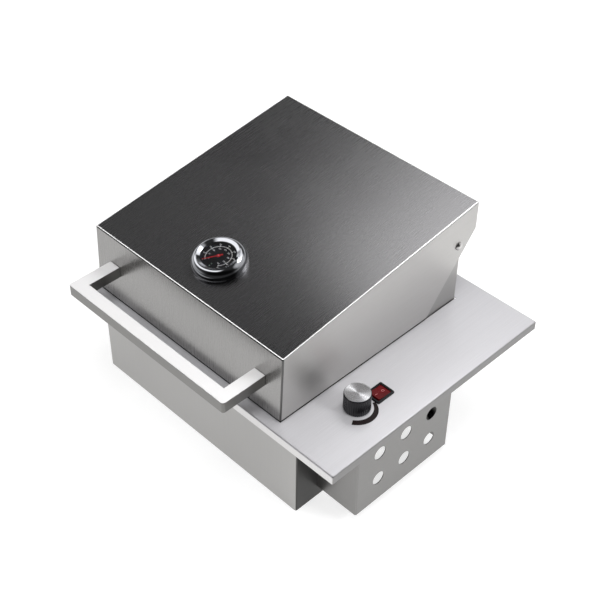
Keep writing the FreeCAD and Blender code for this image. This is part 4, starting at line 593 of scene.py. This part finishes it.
def dial_tick(inner_radius, outer_radius, width, turn):
    """A short line across the scale."""
    half = math.degrees(width / 2 / outer_radius)
    inner, outer = ([on_dial(edge, turn - half), on_dial(edge, turn + half)]
                    for edge in (inner_radius, outer_radius))
    return strip(inner, outer, DIAL_UP)


def dial_text(name, words, size, radius, turn, material):
    """Raised words on the dial's face, centred on a radius and a turn."""
    curve = bpy.data.curves.new(name, "FONT")
    curve.body = words
    curve.size = size * MM
    curve.align_x = "CENTER"
    curve.align_y = "CENTER"
    curve.extrude = PRINT_THICKNESS
    made = bpy.data.objects.new(name, curve)
    bpy.context.collection.objects.link(made)
    axes = Matrix((DIAL_RIGHT, DIAL_BACK, DIAL_UP)).transposed().to_4x4()
    made.matrix_world = Matrix.Translation(on_dial(radius, turn)) @ axes
    mesh = bpy.data.meshes.new_from_object(made)
    mesh.transform(made.matrix_world)
    bpy.data.objects.remove(made)
    return dressed(name, mesh, material, "hood")


SCALE_FIRST = -147.0
SCALE_LAST = 135.0
SCALE_SWEEP = SCALE_LAST - SCALE_FIRST
SCALE_STEPS = 8
SCALE_TICKS = 5
SCALE_RADIUS = 17.7
SCALE_LINE = 0.55
LONG_TICK = 1.9
LONG_TICK_WIDTH = 0.6
SHORT_TICK = 0.9
SHORT_TICK_WIDTH = 0.35
INNER_TICK = 1.3

scale_parts = [dial_arc(SCALE_RADIUS, SCALE_LINE, SCALE_FIRST, SCALE_LAST)]
for step in range(SCALE_STEPS * SCALE_TICKS + 1):
    turn = SCALE_FIRST + SCALE_SWEEP * step / (SCALE_STEPS * SCALE_TICKS)
    if step % SCALE_TICKS:
        scale_parts.append(dial_tick(SCALE_RADIUS, SCALE_RADIUS + SHORT_TICK, SHORT_TICK_WIDTH, turn))
    else:
        scale_parts.append(dial_tick(SCALE_RADIUS, SCALE_RADIUS + LONG_TICK, LONG_TICK_WIDTH, turn))
        scale_parts.append(dial_tick(SCALE_RADIUS - INNER_TICK, SCALE_RADIUS, LONG_TICK_WIDTH, turn))
joined("dial_scale", scale_parts, print_white, "hood")

# Size, radius and turn of the numbers and of the two unit signs, inside and outside the arc
NUMBER_SIZE, NUMBER_RADIUS, NUMBER_STEP = 2.8, 13.4, 50
OUTER_NUMBER_SIZE, OUTER_NUMBER_RADIUS, OUTER_NUMBER_STEP = 2.6, 21.6, 100
UNIT_SIZE = 2.8
UNIT_RADIUS, UNIT_TURN = 15.8, 169.0
OUTER_UNIT_RADIUS, OUTER_UNIT_TURN = 20.0, 171.0

for step in range(SCALE_STEPS + 1):
    turn = SCALE_FIRST + SCALE_SWEEP * step / SCALE_STEPS
    dial_text(f"dial_number_{step}", str(NUMBER_STEP * step), NUMBER_SIZE, NUMBER_RADIUS, turn, print_white)
    dial_text(f"dial_outer_number_{step}", str(OUTER_NUMBER_STEP * step), OUTER_NUMBER_SIZE,
              OUTER_NUMBER_RADIUS, turn, print_white)
dial_text("dial_unit", "°C", UNIT_SIZE, UNIT_RADIUS, UNIT_TURN, print_green)
dial_text("dial_outer_unit", "°F", UNIT_SIZE, OUTER_UNIT_RADIUS, OUTER_UNIT_TURN, print_green)


# Marks on the rocker: a ring at the back, a bar at the front
OFF_MARK_BACK = 6.2
OFF_MARK_INNER = (1.3, 1.7)
OFF_MARK_OUTER = (1.8, 2.2)
OFF_MARK_STEPS = 24
ON_MARK_FRONT = 6.4
ON_MARK_HALF_WIDTH = 0.3
ON_MARK_HALF_LENGTH = 2.0

rocker_low, rocker_high = (Vector(corner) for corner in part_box("switch_rocker"))
rocker_x = (rocker_low.x + rocker_high.x) / 2
rocker_y = (rocker_low.y + rocker_high.y) / 2


def rocker_top(x, y):
    """Highest point of the rocker above a place, by casting a ray down on its mesh."""
    hit, point, _, _ = nodes["switch_rocker"].ray_cast(Vector((x, y, 1.0)), -UP)
    return point if hit else Vector((x, y, rocker_high.z))


def rocker_mark(name, inner_flat, outer_flat):
    """A mark laid on the rocker's face between two rows of level points."""
    rows = [[rocker_top(x, y) - UP * PRINT_SINK for x, y in row] for row in (inner_flat, outer_flat)]
    joined(name, [strip(*rows, UP)], print_red_mark, "rocker")


def ring_row(half_sizes):
    """Points round an oval with the given half sizes."""
    across, along = half_sizes
    middle = rocker_y + OFF_MARK_BACK * MM
    turns = [math.radians(360.0 * step / OFF_MARK_STEPS) for step in range(OFF_MARK_STEPS + 1)]
    return [(rocker_x + across * MM * math.cos(turn), middle + along * MM * math.sin(turn)) for turn in turns]


def bar_row(side):
    """Points along one long edge of the bar, -1 for the left one and 1 for the right one."""
    x = rocker_x + side * ON_MARK_HALF_WIDTH * MM
    middle = rocker_y - ON_MARK_FRONT * MM
    return [(x, middle + reach * ON_MARK_HALF_LENGTH * MM) for reach in (-1.0, 0.0, 1.0)]


rocker_mark("rocker_off_mark", ring_row(OFF_MARK_INNER), ring_row(OFF_MARK_OUTER))
rocker_mark("rocker_on_mark", bar_row(-1.0), bar_row(1.0))


# Studio: a pale floor, a sky that is bright near the horizon and dark overhead, soft lamps

WHITE = (1.0, 1.0, 1.0, 1.0)
GLOW_GREY = (0.8, 0.8, 0.8, 1.0)

# The studio is dark on the side in front and to the right
DARK_SIDE = (0.707, -0.707, 0.0)

FLOOR_HALF = 6.0
PAPER_LOW = (0.35, 0.35, 0.35)
PAPER_HIGH = (0.37, 0.37, 0.37)
PAPER_GRAIN = 40.0
PAPER_ROUGH = 0.9

# Distances in metres: where gloss sees the floor go dark on the dark side, and where its glow rises to white
FLOOR_DARK_LIMITS = (0.55, 0.85)
FLOOR_DARK_DEPTH = 0.9
FLOOR_GLOW = (0.76, 1.0)
FLOOR_GLOW_LIMITS = (0.9, 2.4)


def stage_plane(name, half, material):
    """A level square of the stage, at the height of the object's foot."""
    mesh = bpy.data.meshes.new(name)
    mesh.from_pydata([(-half, -half, 0.0), (half, -half, 0.0), (half, half, 0.0), (-half, half, 0.0)], [],
                     [(0, 1, 2, 3)])
    plane = bpy.data.objects.new(name, mesh)
    bpy.context.collection.objects.link(plane)
    mesh.materials.append(material)
    return plane


def floor_paper():
    """Pale paper that looks white to the camera and in gloss, and only takes light and shadow otherwise."""
    graph = Surface("floor_paper")
    place = graph.coordinates.outputs["Object"]
    path = graph.node("ShaderNodeLightPath").outputs
    fleck = graph.span(graph.noise(PAPER_GRAIN, detail=3.0), 0.0, 1.0)
    far = graph.span(graph.vector("DOT_PRODUCT", place, DARK_SIDE), 0.0, FLOOR_DARK_DEPTH, *FLOOR_DARK_LIMITS)
    share = graph.math("SUBTRACT", 1.0, graph.math("MULTIPLY", far, path["Is Glossy Ray"]))
    seen = graph.math("MAXIMUM", path["Is Glossy Ray"], path["Is Transmission Ray"], path["Is Camera Ray"])
    glow = graph.span(graph.vector("LENGTH", place), *FLOOR_GLOW, *FLOOR_GLOW_LIMITS)
    graph.feed(graph.scaled(graph.blend(fleck, PAPER_LOW, PAPER_HIGH), share), "Base Color")
    graph.feed(graph.math("MULTIPLY", seen, share, glow), "Emission Strength")
    graph.put(Roughness=PAPER_ROUGH, Emission_Color=WHITE)
    return graph.material


stage_plane("floor", FLOOR_HALF, floor_paper())

# Height of the view, from level to straight up, and the grey of the sky there
SKY_STOPS = ((0.0, 1.0), (0.13, 1.0), (0.25, 0.20), (0.45, 0.05), (1.0, 0.04))

# Each: direction, cosine from and to, strength from and to
SKY_FADE = (DARK_SIDE, 0.25, 0.70, 1.0, 0.12)
LONG_GLOW = ((-0.50, -0.48, 0.72), 0.60, 0.80, 0.0, 2.2)
ROUND_GLOW = ((0.48, 0.66, 0.58), 0.82, 0.94, 0.0, 0.9)

# The long glow is kept to a ring about this direction, at the last cosine, and fades off it both ways
RING_GLOW = ((-0.352, 0.244, 0.904), 0.06, 0.13, 1.0, 0.0, 0.646)


class Sky(Nodes):
    """The world's nodes."""

    def __init__(self, world):
        world.use_nodes = True
        super().__init__(world.node_tree)

    def towards(self, direction, first, last, low, high, about=None):
        """A share from low to high as the view turns towards a direction, or off a ring round it."""
        reach = self.vector("DOT_PRODUCT", self.coordinates.outputs["Generated"],
                            Vector(direction).normalized())
        if about is not None:
            reach = self.math("ABSOLUTE", self.math("SUBTRACT", reach, about))
        return self.span(reach, low, high, first, last, smooth=True)

    def ramp(self, stops):
        """A grey that follows the height of the view."""
        made = self.node("ShaderNodeValToRGB")
        self.link(self.part("Generated", "Z"), made.inputs[0])
        elements = made.color_ramp.elements
        while len(elements) < len(stops):
            elements.new(0.5)
        for element, (height, tone) in zip(elements, stops):
            element.position = height
            element.color = (tone, tone, tone, 1.0)
        return made.outputs[0]

    def light(self, strength, colour):
        made = self.node("ShaderNodeBackground")
        self.give(made.inputs["Color"], colour)
        self.give(made.inputs["Strength"], strength)
        return made.outputs[0]

    def added(self, first, second):
        made = self.node("ShaderNodeAddShader")
        self.link(first, made.inputs[0])
        self.link(second, made.inputs[1])
        return made.outputs[0]

    def to_camera(self, below, seen):
        """Show one shader to the camera and leave the other to light the object."""
        made = self.node("ShaderNodeMixShader")
        self.link(self.node("ShaderNodeLightPath").outputs["Is Camera Ray"], made.inputs[0])
        self.link(below, made.inputs[1])
        self.link(seen, made.inputs[2])
        return made.outputs[0]


# The sky fades on the dark side; a long soft glow is added in front and left, and a round one behind right
studio = bpy.data.worlds.new("studio")
bpy.context.scene.world = studio
sky = Sky(studio)
sky_shader = sky.light(sky.towards(*SKY_FADE), sky.ramp(SKY_STOPS))
sky_shader = sky.added(sky_shader, sky.light(sky.math("MULTIPLY", sky.towards(*LONG_GLOW),
                                                      sky.towards(*RING_GLOW)), GLOW_GREY))
sky_shader = sky.added(sky_shader, sky.light(sky.towards(*ROUND_GLOW), GLOW_GREY))
sky_shader = sky.to_camera(sky_shader, sky.light(1.0, WHITE))
sky.link(sky_shader, sky.node("ShaderNodeOutputWorld").inputs[0])

# Name, place, aim, width and height, watts, and whether gloss mirrors it
LAMPS = (
    ("soft_top", (0.5, -0.4, 3.2), (0.0, 0.0, 0.15), (1.6, 1.6), 56.0, False),
    ("soft_rear", (-0.2, 0.85, 1.25), (-0.2, 0.851, 0.0), (0.8, 0.9), 3.2, True),
    ("soft_left", (-0.95, 0.15, 1.30), (-0.1, -0.1, 0.25), (0.7, 0.6), 0.12, True),
    ("soft_side", (1.2, 0.35, 0.9), (0.15, -0.05, 0.2), (0.3, 0.3), 9.0, False),
    ("soft_front", (-0.1, -1.7, 0.75), (0.0, -0.2, 0.16), (1.0, 0.4), 9.0, False),
    ("small_rear", (0.28, 0.66, 1.24), (0.25, -0.13, 0.17), (0.40, 0.40), 3.0, True),
)

for lamp_name, lamp_place, lamp_aim, lamp_size, watts, mirrored in LAMPS:
    lamp_data = bpy.data.lights.new(lamp_name, "AREA")
    lamp_data.shape = "RECTANGLE"
    lamp_data.size, lamp_data.size_y = lamp_size
    lamp_data.energy = watts
    lamp = bpy.data.objects.new(lamp_name, lamp_data)
    bpy.context.collection.objects.link(lamp)
    lamp.location = lamp_place
    lamp.rotation_euler = (Vector(lamp_aim) - Vector(lamp_place)).to_track_quat("-Z", "Y").to_euler()
    lamp.visible_glossy = mirrored


# Camera: fitted to the photograph's frame

CAMERA_LENS = 74.30
CAMERA_SENSOR = 36.0
CAMERA_REACH = 50.0
CAMERA_AZIMUTH = 44.984
CAMERA_ELEVATION = 41.427
CAMERA_ROLL = -0.658
CAMERA_DISTANCE = 1.699695
CAMERA_ACROSS = 0.00983
CAMERA_RISE = 0.029724
CAMERA_TARGET = Vector((0.00025, 0.0255, 0.198))

azimuth = math.radians(CAMERA_AZIMUTH)
elevation = math.radians(CAMERA_ELEVATION)
roll = math.radians(CAMERA_ROLL)
backward = Vector((math.sin(azimuth) * math.cos(elevation), -math.cos(azimuth) * math.cos(elevation),
                   math.sin(elevation)))
flat_right = UP.cross(backward).normalized()
flat_up = backward.cross(flat_right)
camera_right = math.cos(roll) * flat_right - math.sin(roll) * flat_up
camera_up = math.sin(roll) * flat_right + math.cos(roll) * flat_up
camera_place = (CAMERA_TARGET + backward * CAMERA_DISTANCE - camera_right * CAMERA_ACROSS
                - camera_up * CAMERA_RISE)
camera_data = bpy.data.cameras.new("camera")
camera_data.lens = CAMERA_LENS
camera_data.sensor_width = CAMERA_SENSOR
camera_data.clip_end = CAMERA_REACH
camera = bpy.data.objects.new("camera", camera_data)
bpy.context.collection.objects.link(camera)
camera.matrix_world = (Matrix.Translation(camera_place)
                       @ Matrix((camera_right, camera_up, backward)).transposed().to_4x4())
bpy.context.scene.camera = camera
bpy.context.scene.view_settings.view_transform = "Standard"
